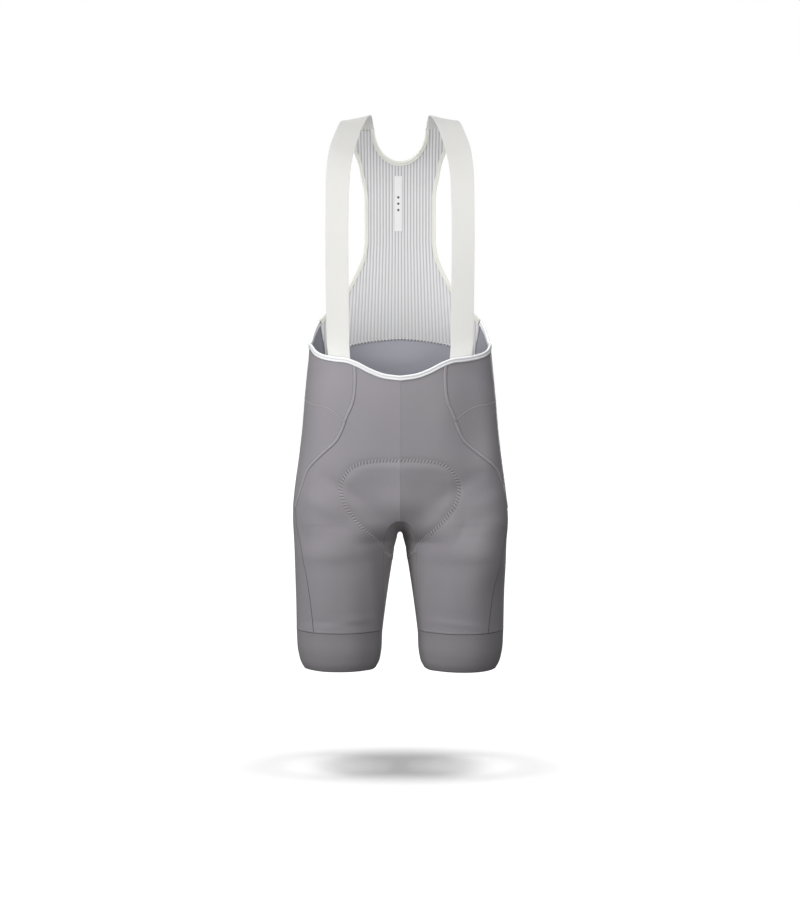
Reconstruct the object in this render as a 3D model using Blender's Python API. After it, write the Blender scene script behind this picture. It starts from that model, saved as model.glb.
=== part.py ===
"""Cycling bib shorts, worn with nobody in them, as the pieces a maker cuts and sews.

X runs to the wearer's left, Y to the wearer's back and Z up. The origin is where the
shoulders carry the straps. Heights are given as a drop below the shoulders.
"""
import functools
import math

import bmesh
import bpy
import numpy as np
from mathutils.bvhtree import BVHTree

MM = 0.001

# ---- Driving dimensions, in millimetres ----------------------------------------

WALL = 1.2              # knitted cloth, and the elastic of the straps
SEAM_GAP = 0.3          # between neighbouring pieces
BIB_SEAM_GAP = 0.5      # between the ribbed bib and what it is sewn to

# The body of the shorts is a ring at each height. Its two halves part into the legs.
# drop: below the shoulders; outer: half width; inner: from the middle to the leg;
# front, back: depth in front of and behind the side.
DROP, OUTER, INNER, FRONT, BACK = range(5)
SECTIONS = (
    (16, 200, 0, 40, 42),
    (35, 200, 0, 60, 62),
    (60, 200, 0, 82, 86),
    (97, 200, 0, 103, 107),
    (147, 195, 0, 114, 116),
    (205, 182, 0, 115, 116),
    (265, 166, 0, 112, 110),
    (325, 154, 0, 108, 105),
    (385, 153, 0, 108, 102),
    (431, 157, 0, 110, 104),
    (475, 161, 0, 112, 112),
    (537, 166, 0, 112, 124),
    (587, 172, 0, 110, 131),
    (622, 177, 0, 106, 132),
    (652, 180.3, 0, 103, 129),
    (678, 181.2, 0, 98, 123),
    (703, 180.6, 0, 97, 116),
    (714, 180.2, 6, 96, 112),
    (730, 179.8, 9, 94, 107),
    (748, 179.4, 12, 91, 101),
    (785, 178, 18, 87, 94),
    (816, 177, 22.5, 83, 88),
    (852, 176.4, 27.3, 78, 82),
    (874, 176, 30, 76, 78),
    (911, 173, 32.3, 73, 75),
    (927, 168.5, 36, 69, 71),
    (935, 164, 40.5, 65, 67),
)
TRUNK_POWER = 2.4       # how square the ring of the trunk is
LEG_POWER = 2.2         # and that of a leg
SPLIT_TOP = 687         # the trunk begins to part into legs
SPLIT_DROP = 60
DIP_REACH = 94          # the cloth is drawn in about the crotch, this far to each side
FRONT_DIP = (627, 90, 60)       # from this drop, over this height, to this depth
BACK_DIP = (607, 105, 70)

# The gusset's seams arch over the crotch and run down inside each leg.
ARCH_TOP = 678
ARCH_DROP = 36
CROTCH_DROP = 703.6     # lowest line of the cloth between the legs
CROTCH_ANGLE = 60       # how far the crotch curves round from seam to seam, in degrees
FRONT_INSEAM, BACK_INSEAM = 1, 2
INSEAMS = (             # drop, distance of the front and the back seam from the middle
    (714, 28, 26),
    (785, 28, 30),
    (811, 28, 32),
    (838, 29.3, 34.5),
    (874, 31.4, 38),
    (911, 33.8, 40),
    (927, 37.5, 43.5),
    (935, 42, 48),
)

# The princess seam runs from the waist to the hip and on down the leg.
PRINCESS_SEAM = (       # drop, distance from the middle
    (417, 75), (452, 73.7), (487, 78.5), (509, 88), (528, 94.6), (548, 105),
    (567, 124), (576, 133), (596, 149.6), (622, 159.5), (647, 168), (661, 172),
    (681, 169.8), (713, 166), (745, 161.5), (771, 156.5), (822, 149), (858, 145.4),
    (935, 137),
)
# The side seam of the bib runs on behind the side of the leg.
SIDE_SEAM = (           # drop, turn from centre front in degrees
    (344, 115), (405, 125), (468, 127), (560, 115), (650, 107), (760, 110), (869, 120),
    (935, 120),
)

# Edges and cross seams: turn from centre front in degrees, drop.
WAIST_EDGE = (
    (0, 443), (7, 439), (14, 431), (21.5, 421), (28, 415), (40, 411.5), (54, 406),
    (63, 400), (73, 391), (85, 387), (96, 382), (106, 362), (115, 346), (125, 334),
)
BIB_SEAM = (
    (0, 472), (30, 447), (75, 428), (105, 415), (125, 405), (149, 386.5), (167, 378),
    (180, 374.5),
)
YOKE_SEAM = (
    (0, 530), (20, 525), (31, 512), (36, 502.5), (44, 493.5), (56, 489), (76, 482),
    (90, 477), (128, 468), (180, 466),
)
HIP_LINE = ((0, 640), (70, 661), (106, 650), (180, 640))
CROTCH_LINE = ((0, ARCH_TOP), (70, 695), (106, 695), (180, ARCH_TOP))
LEG_LINE = ((0, ARCH_TOP + ARCH_DROP), (180, ARCH_TOP + ARCH_DROP))
BAND_SEAM = ((0, 869), (180, 869))
HEM = ((0, 935), (180, 935))
LEVELS = (WAIST_EDGE, BIB_SEAM, YOKE_SEAM, HIP_LINE, CROTCH_LINE, LEG_LINE, BAND_SEAM, HEM)
WAIST, BIB, YOKE, HIP, CROTCH, LEG, BAND, END = range(8)

# Steps of the net from each level to the next, as shares of the way.
ARCH_STEPS = 4
ROW_STEPS = (
    (0, 1 / 4, 5 / 8),
    (0, 1 / 3, 2 / 3),
    (0, 1 / 6, 1 / 3, 1 / 2, 2 / 3, 5 / 6),
    (0, 1 / 2),
    tuple(1 - math.cos(math.pi / 2 * step / ARCH_STEPS) for step in range(ARCH_STEPS)),
    (0, 1 / 6, 1 / 3, 1 / 2, 2 / 3, 5 / 6),
    (0, 0.35, 0.64, 0.87),
)
FRONT_COLUMNS, SIDE_COLUMNS, BACK_COLUMNS = 6, 7, 7
GUSSET_COLUMNS = 4      # on each side of the gusset's middle line

# The bib's back is a ribbed knit with its ribs raised on both faces.
RIB_VALLEY = 1.0        # thickness between ribs
RIB_HEIGHT = 0.5        # of a rib, on each face
BIB_SINK = 0.6          # the bib's middle lies this far inside the cloth's outer face
RIB_PITCH_BACK = 5.4    # across the shoulder blades
RIB_PITCH_WAIST = 6.15  # at the bib seam, less towards the sides
RIB_PITCH_LOSS = 0.032
SEAM_RIB = 22           # this rib ends in the corner of the bib seam
CORNER_RIB = 24         # and this one in the corner of the waist edge
BLADE_DROP = 205        # the bib is narrowest from here
FLARE_DROP = 128        # up to here
BLADE_HALF = 61.8
TAB_DROP = 16           # seam between bib and strap
TAB_HALF = 86
NECK_HALF = 45
NECK_DROP = 66          # lowest point of the neckline
ARMHOLE = (             # drop, distance of the edge from the middle
    (TAB_DROP, TAB_HALF), (49, 80), (66, 73), (94, 67), (112, 63.2),
    (FLARE_DROP, BLADE_HALF), (BLADE_DROP, BLADE_HALF), (215, 62.9), (227, 65.2), (242, 70),
    (269, 82.6), (285, 91), (335, 131), (346, 140.6),
)
LAST_RIB = 23.5         # the knit's tip is cut off short of that corner
LOWER_BIB_ROWS = (0, 1 / 6, 1 / 3, 1 / 2, 2 / 3, 5 / 6, 1)
UPPER_BIB_ROWS = (0, 0.14, 0.28, 0.41, 0.54, 0.67, 0.79, 0.9, 1)
FLARE_ROW = 3           # the row at the flare

# Folded binding tape over the edges.
TAPE = 0.9              # thickness of the tape
TAPE_CLEARANCE = 0.45
WAIST_TAPE_HEIGHT = 7.0
BIB_TAPE_HEIGHT = 5.5
BIB_TAPE_CLEARANCE = 0.5
TAPE_END_GAP = 1.5

# A strap is a flat elastic: from its foot behind the waist edge over the shoulder.
STRAP_COLUMNS = 4
STRAP_FOOT = ((428, 117.6, 83.0), (420, 118.6, 82.8), (412, 119.4, 82.8))
STRAP_FOOT_BEHIND = WALL + TAPE_CLEARANCE + TAPE + SEAM_GAP + 0.3
STRAP = (               # outer edge x, y, drop; inner edge x, y, drop
    (120.6, -74.0, 388, 83.2, -94.5, 388),
    (121.2, -80.5, 350, 83.4, -99.5, 350),
    (121.5, -92.5, 290, 83.8, -107.0, 290),
    (121.4, -103.0, 230, 83.9, -113.0, 230),
    (121.0, -106.5, 175, 83.3, -113.5, 170),
    (120.3, -104.0, 122, 81.2, -108.5, 117),
    (118.2, -97.0, 92.5, 77.9, -99.5, 92),
    (114.5, -86.0, 67.5, 74.8, -89.0, 75),
    (107.5, -70.0, 44, 69.6, -75.0, 55),
    (101.5, -52.0, 26, 64.0, -56.5, 34.5),
    (98.0, -33.0, 17, 58.0, -36.0, 17.5),
    (94.5, -12.0, 12.5, 53.0, -13.5, 5.5),
    (90.5, 11.0, 11, 49.0, 8.0, 0),
    (87.6, 27.5, 12, 46.5, 26.5, 6.5),
)
STRAP_STEPS = 2         # rows of the net from one row of the table to the next

# The label on the inside of the bib.
LABEL_MIDDLE, LABEL_WIDTH = -3.0, 13.0
LABEL_TOP, LABEL_BOTTOM = 88.0, 184.0
LABEL_THICKNESS = 0.8
LABEL_ROWS = 8

# Colour and roughness of each cloth.
LYCRA = ("lycra", (0.30, 0.285, 0.30), 0.62)
BAND_LYCRA = ("band_lycra", (0.235, 0.225, 0.24), 0.6)
GUSSET_LYCRA = ("gusset_lycra", (0.27, 0.26, 0.27), 0.65)
ELASTIC = ("elastic", (0.80, 0.80, 0.78), 0.7)
RIB_KNIT = ("rib_knit", (0.76, 0.76, 0.77), 0.8)
TAPE_WHITE = ("tape_white", (0.83, 0.83, 0.84), 0.6)
TAPE_CREAM = ("tape_cream", (0.82, 0.81, 0.74), 0.65)
LABEL_SATIN = ("label_satin", (0.84, 0.84, 0.84), 0.45)


# ---- Curves and the surface of the body -------------------------------------------

def smooth(table, place, column=1):
    """Read a column of a table on a smooth curve through its rows."""
    rows = np.array(table, float)
    places, values = rows[:, 0], rows[:, column]
    slopes = np.gradient(values, places)
    place = np.clip(place, places[0], places[-1])
    low = np.clip(np.searchsorted(places, place, side="right") - 1, 0, len(places) - 2)
    step = places[low + 1] - places[low]
    t = (place - places[low]) / step
    start = (1 + 2 * t) * (1 - t) ** 2 * values[low] + t * (1 - t) ** 2 * step * slopes[low]
    end = t * t * (3 - 2 * t) * values[low + 1] + t * t * (t - 1) * step * slopes[low + 1]
    return start + end


def ease(share):
    """Go from 0 to 1 with a soft start and a soft end."""
    share = np.clip(share, 0, 1)
    return share * share * (3 - 2 * share)


def signed_power(value, exponent):
    return np.sign(value) * np.abs(value) ** exponent


def unit(vectors):
    vectors = np.asarray(vectors, float)
    return vectors / np.linalg.norm(vectors, axis=-1, keepdims=True)


def inseam(drop, column):
    """Distance of a gusset seam from the middle: nothing above the arch."""
    arch = np.clip((drop - ARCH_TOP) / ARCH_DROP, 0, 1)
    return smooth(INSEAMS, drop, column) * np.sqrt(1 - (1 - arch) ** 2)


def dip(drop, across, measures):
    """How far the cloth is drawn in beside the middle, above the crotch."""
    top, height, depth = measures
    share = np.clip((drop - top) / height, 0, 1)
    return depth * share ** 3 * np.clip(1 - across / DIP_REACH, 0, 1) ** 2


def leg_ring(drop):
    """Middle and radius of the leg's ring across."""
    outer, inner = smooth(SECTIONS, drop, OUTER), smooth(SECTIONS, drop, INNER)
    return (outer + inner) / 2, (outer - inner) / 2


def inseam_angle(drop, column):
    """Angle round the leg's ring from its innermost point to a gusset seam."""
    middle, radius = leg_ring(drop)
    share = np.clip((middle - inseam(drop, column)) / radius, -1, 1)
    return np.arccos(signed_power(share, LEG_POWER / 2))


def surface(turn, drop):
    """A point of the shorts' outer face, on the wearer's left.

    turn is 0 at the centre front or the front inseam, 90 at the side and 180 at the
    centre back or the back inseam.
    """
    turn, drop = np.broadcast_arrays(np.asarray(turn, float), np.asarray(drop, float))
    behind = turn > 90
    share = np.where(behind, 180 - turn, turn) / 90
    outer = smooth(SECTIONS, drop, OUTER)
    depth = np.where(behind, smooth(SECTIONS, drop, BACK), smooth(SECTIONS, drop, FRONT))
    seam = np.where(behind, inseam(drop, BACK_INSEAM), inseam(drop, FRONT_INSEAM))
    start = np.arcsin((seam / outer) ** (TRUNK_POWER / 2))
    x_trunk = outer * np.sin(start + share * (math.pi / 2 - start)) ** (2 / TRUNK_POWER)
    middle, radius = leg_ring(drop)
    start = np.where(behind, inseam_angle(drop, BACK_INSEAM), inseam_angle(drop, FRONT_INSEAM))
    swing = start + share * (math.pi - start)
    x_leg = middle - radius * signed_power(np.cos(swing), 2 / LEG_POWER)
    split = ease((drop - SPLIT_TOP) / SPLIT_DROP)
    x = x_trunk + split * (x_leg - x_trunk)
    drawn_in = np.where(behind, dip(drop, x, BACK_DIP), dip(drop, x, FRONT_DIP))
    across = np.clip(x / outer, 0, 1)
    trunk = depth * (1 - across ** TRUNK_POWER) ** (1 / TRUNK_POWER) - drawn_in
    across = np.clip(np.abs(x - middle) / radius, 0, 1)
    leg = depth * (1 - across ** LEG_POWER) ** (1 / LEG_POWER)
    y = trunk + split * (leg - trunk)
    return np.stack([x, np.where(behind, y, -y), -drop], axis=-1)


def front_turn(across, drop):
    """The turn at which the front is a given distance across."""
    low, high = 0.0, 90.0
    for _ in range(40):
        turn = (low + high) / 2
        if surface(turn, drop)[0] < across:
            low = turn
        else:
            high = turn
    return turn


PRINCESS_TURNS = [(drop, front_turn(across, drop)) for drop, across in PRINCESS_SEAM]


def column_turn(column, drop):
    """Turn of a column: 0 centre front, 1 princess seam, 2 side seam, 3 centre back."""
    seams = (0, smooth(PRINCESS_TURNS, drop), smooth(SIDE_SEAM, drop), 180)
    return np.interp(column, range(4), seams)


def row_drop(row, turn):
    """Drop of a row: whole numbers are the levels, fractions lie between them."""
    return np.interp(row, range(len(LEVELS)), [smooth(level, turn) for level in LEVELS])


@functools.cache
def crossing(row, column):
    """Where a row of the net meets a column."""
    turn, drop = 60.0 * column, 600.0
    for _ in range(24):
        drop = row_drop(row, turn)
        turn = (turn + column_turn(column, drop)) / 2
    return surface(turn, drop)


# ---- Nets of corners, and the cloth made from them ----------------------------------

class Net:
    """Corners and four-sided meshes of a cloth's face, sorted by the piece they are in."""

    def __init__(self):
        self.points = []
        self.found = {}
        self.pieces = {}

    def corner(self, point):
        key = tuple(np.round(point, 2) + 0.0)
        if key not in self.found:
            self.found[key] = len(self.points)
            self.points.append(np.array(point, float))
        return self.found[key]

    def add(self, piece, corners):
        indices = []
        for point in corners:
            index = self.corner(point)
            if index not in indices:
                indices.append(index)
        if len(indices) > 2:
            self.pieces.setdefault(piece, []).append(indices)

    def normals(self):
        """Outward direction at each corner, the mean of the meshes that meet there."""
        points = np.array(self.points)
        total = np.zeros_like(points)
        for faces in self.pieces.values():
            for face in faces:
                ring = points[face]
                area = np.cross(ring[2] - ring[0], ring[-1] - ring[1])
                for index in face:
                    total[index] += area
        return unit(total)


def tree_of(net):
    """All of a net's flat meshes, ready to find the nearest point on them."""
    points = np.array(net.points)
    faces = [face for patch in net.pieces.values() for face in split(points, patch)]
    return BVHTree.FromPolygons(points.tolist(), faces)


def mirrored(corners):
    """The same corners on the wearer's other side, kept facing outwards."""
    return [np.array(point) * (-1, 1, 1) for point in reversed(corners)]


def rim(faces):
    """Edges that only one face uses, each in that face's direction."""
    edges = {}
    for face in faces:
        for start, end in zip(face, face[1:] + face[:1]):
            if (end, start) in edges:
                del edges[(end, start)]
            else:
                edges[(start, end)] = face
    return edges


def split(points, faces):
    """Cut every four-sided mesh along its shorter diagonal."""
    triangles = []
    for face in faces:
        if len(face) == 4:
            a, b, c, d = face
            if np.linalg.norm(points[a] - points[c]) <= np.linalg.norm(points[b] - points[d]):
                triangles += [[a, b, c], [a, c, d]]
            else:
                triangles += [[a, b, d], [b, c, d]]
        else:
            triangles.append(face)
    return triangles


def trimmed(points, faces, width):
    """Draw the rim of a patch in by a width, within its own face."""
    pulls = {}
    for (start, end), face in rim(faces).items():
        first, second, third = points[face]
        normal = np.cross(second - first, third - first)
        inward = unit(np.cross(normal, points[end] - points[start]))
        pulls.setdefault(start, []).append(inward)
        pulls.setdefault(end, []).append(inward)
    moved = points.copy()
    for index, (first, second) in pulls.items():
        moved[index] += width * (first + second) / (1 + first @ second)
    return moved


def material_of(finish):
    name, colour, roughness = finish
    if name in bpy.data.materials:
        return bpy.data.materials[name]
    material = bpy.data.materials.new(name)
    material.use_nodes = True
    shader = material.node_tree.nodes["Principled BSDF"]
    shader.inputs["Base Color"].default_value = (*colour, 1)
    shader.inputs["Roughness"].default_value = roughness
    shader.inputs["Metallic"].default_value = 0
    return material


def finish_object(name, body, finish, crease_angle=35):
    """Turn a bmesh into a named object with its material and smooth shading."""
    mesh = bpy.data.meshes.new(name)
    body.to_mesh(mesh)
    body.free()
    mesh.materials.append(material_of(finish))
    mesh.shade_smooth()
    mesh.set_sharp_from_angle(angle=math.radians(crease_angle))
    piece = bpy.data.objects.new(name, mesh)
    bpy.context.scene.collection.objects.link(piece)
    return piece


def make_wall(name, finish, points, normals, faces, above=0.0, below=WALL, gap=SEAM_GAP):
    """Give a patch of a net its thickness, and trim it by half a seam gap all round."""
    faces = split(points, faces)
    points = trimmed(np.array(points), faces, gap / 2)
    above = np.broadcast_to(above, len(points))
    below = np.broadcast_to(below, len(points))
    body = bmesh.new()
    outer, inner = {}, {}
    for index in sorted({index for face in faces for index in face}):
        outer[index] = body.verts.new((points[index] + normals[index] * above[index]) * MM)
        inner[index] = body.verts.new((points[index] - normals[index] * below[index]) * MM)
    for face in faces:
        body.faces.new([outer[index] for index in face])
        body.faces.new([inner[index] for index in reversed(face)])
    for start, end in rim(faces):
        body.faces.new([outer[end], outer[start], inner[start], inner[end]])
    return finish_object(name, body, finish)


# ---- The shorts -------------------------------------------------------------------

def net_rows():
    """Every row of the net, with the level it starts from."""
    rows = []
    for level, steps in enumerate(ROW_STEPS):
        rows += [level + step for step in steps]
    return rows + [END]


def net_columns():
    columns = []
    for start, count in enumerate((FRONT_COLUMNS, SIDE_COLUMNS, BACK_COLUMNS)):
        columns += [start + step / count for step in range(count)]
    return columns + [3]


def panel_name(row, column):
    """The piece that a mesh of the net belongs to, from its upper and front corner."""
    if row >= BAND:
        return "hem_band"
    if column < 1:
        return "front"
    if column < 2:
        if row < YOKE:
            return "side_yoke"
        return "back" if row < HIP else "leg_side"
    return None if row < BIB else "back"


def gusset_line(row):
    """A line of the gusset on the wearer's left, from its front seam to its back seam."""
    front, back = crossing(row, 0), crossing(row, 3)
    drop = -front[2]
    angles = [inseam_angle(drop, FRONT_INSEAM), inseam_angle(drop, BACK_INSEAM)]
    middle = np.array([smooth(SECTIONS, drop, INNER), 0, -drop])
    if row < LEG:
        rise = math.acos(1 - (row - CROTCH))
        leg_drop = ARCH_TOP + ARCH_DROP
        reach = smooth(SECTIONS, leg_drop, INNER)
        fall = (leg_drop - CROTCH_DROP) * (1 - math.cos(rise))
        middle = np.array([reach * math.sin(rise), 0, -CROTCH_DROP - fall])
        for side, column in enumerate((FRONT_INSEAM, BACK_INSEAM)):
            low = inseam_angle(leg_drop, column)
            angles[side] = low + (math.radians(CROTCH_ANGLE) - low) * (1 - math.sin(rise))
    line = []
    for end, angle, steps in ((front, angles[0], range(GUSSET_COLUMNS, 0, -1)),
                              (back, angles[1], range(GUSSET_COLUMNS + 1))):
        for step in steps:
            swing = angle * step / GUSSET_COLUMNS
            forward = (math.sin(swing) / math.sin(angle)) ** (2 / LEG_POWER)
            bulge = (1 - math.cos(swing) ** (2 / LEG_POWER))
            bulge /= 1 - math.cos(angle) ** (2 / LEG_POWER)
            line.append(middle + (end - middle) * (bulge, forward, bulge))
    return line


def shorts_net():
    """The net of the whole outer face, both legs and the gusset between them."""
    net = Net()
    rows, columns = net_rows(), net_columns()
    grid = [[crossing(row, column) for column in columns] for row in rows]
    for i in range(len(rows) - 1):
        for j in range(len(columns) - 1):
            name = panel_name(rows[i], columns[j])
            if name is None:
                continue
            quad = [grid[i][j], grid[i + 1][j], grid[i + 1][j + 1], grid[i][j + 1]]
            net.add(name + "_left", quad)
            net.add(name + "_right", mirrored(quad))
    leg_rows = [row for row in rows if row >= CROTCH]
    lines = [gusset_line(row) for row in leg_rows]
    for i in range(len(leg_rows) - 1):
        band = leg_rows[i] >= BAND
        for j in range(2 * GUSSET_COLUMNS):
            quad = [lines[i][j + 1], lines[i + 1][j + 1], lines[i + 1][j], lines[i][j]]
            net.add("hem_band_left" if band else "inner_leg_gusset", quad)
            net.add("hem_band_right" if band else "inner_leg_gusset", mirrored(quad))
    return net


def make_shorts():
    """All panels and leg bands. Returns their net and its outward directions."""
    net = shorts_net()
    points, normals = np.array(net.points), net.normals()
    for name, faces in net.pieces.items():
        finish = BAND_LYCRA if name.startswith("hem") else LYCRA
        if name == "inner_leg_gusset":
            finish = GUSSET_LYCRA
        make_wall(name, finish, points, normals, faces)
    return net, normals


# ---- The ribbed back of the bib -------------------------------------------------------

def bib_point(x, drop):
    """A point of the back above the shorts, at a place seen from behind."""
    outer, back = smooth(SECTIONS, drop, OUTER), smooth(SECTIONS, drop, BACK)
    across = np.abs(x) / outer
    return np.array([x, back * (1 - across ** TRUNK_POWER) ** (1 / TRUNK_POWER), -drop])


def bib_normal(x, drop):
    """Outward direction of the back there."""
    step = 0.5
    across = bib_point(x + step, drop) - bib_point(x - step, drop)
    down = bib_point(x, drop + step) - bib_point(x, drop - step)
    return unit(np.cross(across, -down)) * (-1, -1, -1)


EDGE_RIB = BLADE_HALF / RIB_PITCH_BACK      # the bib's narrow edge, counted in ribs


def bib_seat(x, drop, tree):
    """A point on the bib's own flat meshes, and the outward direction there."""
    place, normal = bib_point(x, drop), bib_normal(x, drop)
    seat = np.array(tree.find_nearest(place)[0])
    return place + normal * ((seat - place) @ normal), normal


def seam_foot(rib):
    """Where a rib starts: on the bib seam, or past its corner on the side seam."""
    if rib <= SEAM_RIB:
        x = RIB_PITCH_WAIST * rib * (1 - RIB_PITCH_LOSS * (rib / SEAM_RIB) ** 2)
        drop = 390.0
        for _ in range(20):
            turn = 180 - math.degrees(math.asin((x / smooth(SECTIONS, drop, OUTER))
                                                ** (TRUNK_POWER / 2)))
            drop = smooth(BIB_SEAM, turn)
        return x, drop
    low, high = SIDE_SEAM[1][0], ARMHOLE[-1][0]
    drop = low + (high - low) * (rib - SEAM_RIB) / (CORNER_RIB - SEAM_RIB)
    return surface(smooth(SIDE_SEAM, drop), drop)[0], drop


def armhole_drop(x, lower):
    """Drop of the armhole's edge at a distance from the middle, below or above its waist."""
    low, high = (BLADE_DROP, ARMHOLE[-1][0]) if lower else (TAB_DROP, FLARE_DROP)
    drops = np.linspace(low, high, 400)
    widths = smooth(ARMHOLE, drops)
    order = np.argsort(widths)
    return np.interp(x, widths[order], drops[order])


def lower_rib(rib):
    """Both ends of a rib's lower stretch, as distance from the middle and drop."""
    foot = seam_foot(rib)
    if rib <= EDGE_RIB:
        return foot, (RIB_PITCH_BACK * rib, BLADE_DROP)
    corner_x = seam_foot(CORNER_RIB)[0]
    share = (rib - EDGE_RIB) / (CORNER_RIB - EDGE_RIB)
    x = BLADE_HALF + (corner_x - BLADE_HALF) * share
    return foot, (x, armhole_drop(x, lower=True))


def upper_rib(rib):
    """Both ends of a rib's upper stretch."""
    x = min(RIB_PITCH_BACK * rib, TAB_HALF)
    foot = BLADE_DROP if rib <= EDGE_RIB else armhole_drop(x, lower=False)
    head = TAB_DROP
    if x < NECK_HALF:
        head += (NECK_DROP - TAB_DROP) * math.sqrt(1 - (x / NECK_HALF) ** 2)
    return (x, foot), (x, head)


def rib_places(last):
    """Crests and valleys from the middle rib outwards, with the one at the narrow edge."""
    places = [half / 2 for half in range(int(2 * last) + 1)]
    places[places.index(round(2 * EDGE_RIB) / 2)] = EDGE_RIB
    return places


def bib_net():
    """The net of the bib's back, and how proud each corner stands as part of a rib."""
    net = Net()
    relief = {}
    for last, ends, shares in ((LAST_RIB, lower_rib, LOWER_BIB_ROWS),
                               (math.ceil(TAB_HALF / RIB_PITCH_BACK), upper_rib, UPPER_BIB_ROWS)):
        places = rib_places(last)
        lines = []
        for rib in places:
            (x0, drop0), (x1, drop1) = ends(rib)
            crest = (1 + math.cos(2 * math.pi * rib)) / 2
            line = []
            for share in shares:
                if drop0 < BLADE_DROP:
                    flare = shares[FLARE_ROW]
                    share = max(0, share - flare) / (1 - flare)
                x, drop = x0 + (x1 - x0) * share, drop0 + (drop1 - drop0) * share
                point = bib_point(x, drop)
                line.append(point)
                for side in (1, -1):
                    relief[net.corner(point * (side, 1, 1))] = crest
            lines.append(line)
        for left, right, rib in zip(lines, lines[1:], places):
            beyond = rib >= EDGE_RIB and shares is UPPER_BIB_ROWS
            for low in range(FLARE_ROW if beyond else 0, len(shares) - 1):
                quad = [left[low], left[low + 1], right[low + 1], right[low]]
                net.add("bib", quad)
                net.add("bib", mirrored(quad))
    return net, relief


def make_bib():
    """The ribbed back. Returns its flat meshes as a tree that finds the nearest point."""
    net, relief = bib_net()
    points = np.array(net.points)
    normals = np.array([bib_normal(point[0], -point[2]) for point in points])
    proud = np.array([relief[index] for index in range(len(points))]) * RIB_HEIGHT
    above = RIB_VALLEY / 2 + proud - BIB_SINK
    below = RIB_VALLEY / 2 + proud + BIB_SINK
    make_wall("bib_mesh_back", RIB_KNIT, points, normals, net.pieces["bib"], above, below,
              BIB_SEAM_GAP)
    return tree_of(net)


def make_label(tree):
    """A strip of satin on the bib's inner face."""
    net = Net()
    half = LABEL_WIDTH / 2
    columns = (LABEL_MIDDLE - half, LABEL_MIDDLE, LABEL_MIDDLE + half)
    drops = np.linspace(LABEL_TOP, LABEL_BOTTOM, LABEL_ROWS + 1)
    for upper, lower in zip(drops, drops[1:]):
        for left, right in zip(columns, columns[1:]):
            corners = ((left, lower), (left, upper), (right, upper), (right, lower))
            net.add("label", [bib_seat(x, drop, tree)[0] for x, drop in corners])
    points = np.array(net.points)
    normals = np.array([bib_normal(point[0], -point[2]) for point in points])
    near = BIB_SINK + RIB_VALLEY / 2 + RIB_HEIGHT + SEAM_GAP
    make_wall("label", LABEL_SATIN, points, normals, net.pieces["label"],
              -near, near + LABEL_THICKNESS)


# ---- Binding tape ------------------------------------------------------------------

def make_binding(name, finish, stations, over, under):
    """Fold a tape over an edge.

    A station is the edge's point, the point on the face where the tape ends, and the
    outward direction at both. over and under are the faces of the slot for the cloth.
    """
    corners = []
    for top, low, top_normal, low_normal in stations:
        up = unit(top - low)
        fold = top + up * (TAPE_CLEARANCE + TAPE)
        shoulder = top + up * TAPE_CLEARANCE
        corners += [
            low + low_normal * (over + TAPE),
            shoulder + top_normal * (over + TAPE),
            fold + top_normal * over,
            fold - top_normal * under,
            shoulder - top_normal * (under + TAPE),
            low - low_normal * (under + TAPE),
            low - low_normal * under,
            shoulder - top_normal * under,
            shoulder + top_normal * over,
            low + low_normal * over,
        ]
    count = len(corners) // len(stations)
    faces = []
    for first in range(0, len(corners) - count, count):
        for i in range(count):
            j = (i + 1) % count
            faces.append([first + i, first + j, first + count + j, first + count + i])
    for first in (0, len(corners) - count):
        for cap in ((0, 1, 8, 9), (1, 2, 8), (2, 3, 7, 8), (3, 4, 7), (4, 5, 6, 7)):
            faces.append([first + i for i in cap])
    corners = np.array(corners)
    body = bmesh.new()
    vertices = [body.verts.new(corner * MM) for corner in corners]
    for face in split(corners, faces):
        body.faces.new([vertices[i] for i in face])
    bmesh.ops.recalc_face_normals(body, faces=body.faces)
    if body.calc_volume(signed=True) < 0:
        bmesh.ops.reverse_faces(body, faces=body.faces)
    return finish_object(name, body, finish)


def shortened(stations, length):
    """Take a length off both ends of a run of stations."""
    ends = []
    for last, near in ((0, 1), (-1, -2)):
        share = length / np.linalg.norm(stations[near][0] - stations[last][0])
        pairs = zip(stations[last], stations[near])
        ends.append(tuple(there + (here - there) * share for there, here in pairs))
    return [ends[0]] + stations[1:-1] + [ends[1]]


def bib_stations(path, height, tree):
    """Stations square to a path on the bib, except where it starts and ends."""
    stations = []
    for i, point in enumerate(path):
        along = np.subtract(path[min(i + 1, len(path) - 1)], path[max(i - 1, 0)])
        inward = unit([-along[1], along[0]]) * height
        stations.append(bib_station(point, np.add(point, inward), tree))
    return stations


def bib_station(point, low, tree):
    """A station of a tape on the bib, from distances and drops."""
    (top, top_normal), (bottom, bottom_normal) = bib_seat(*point, tree), bib_seat(*low, tree)
    return top, bottom, top_normal, bottom_normal


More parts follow.
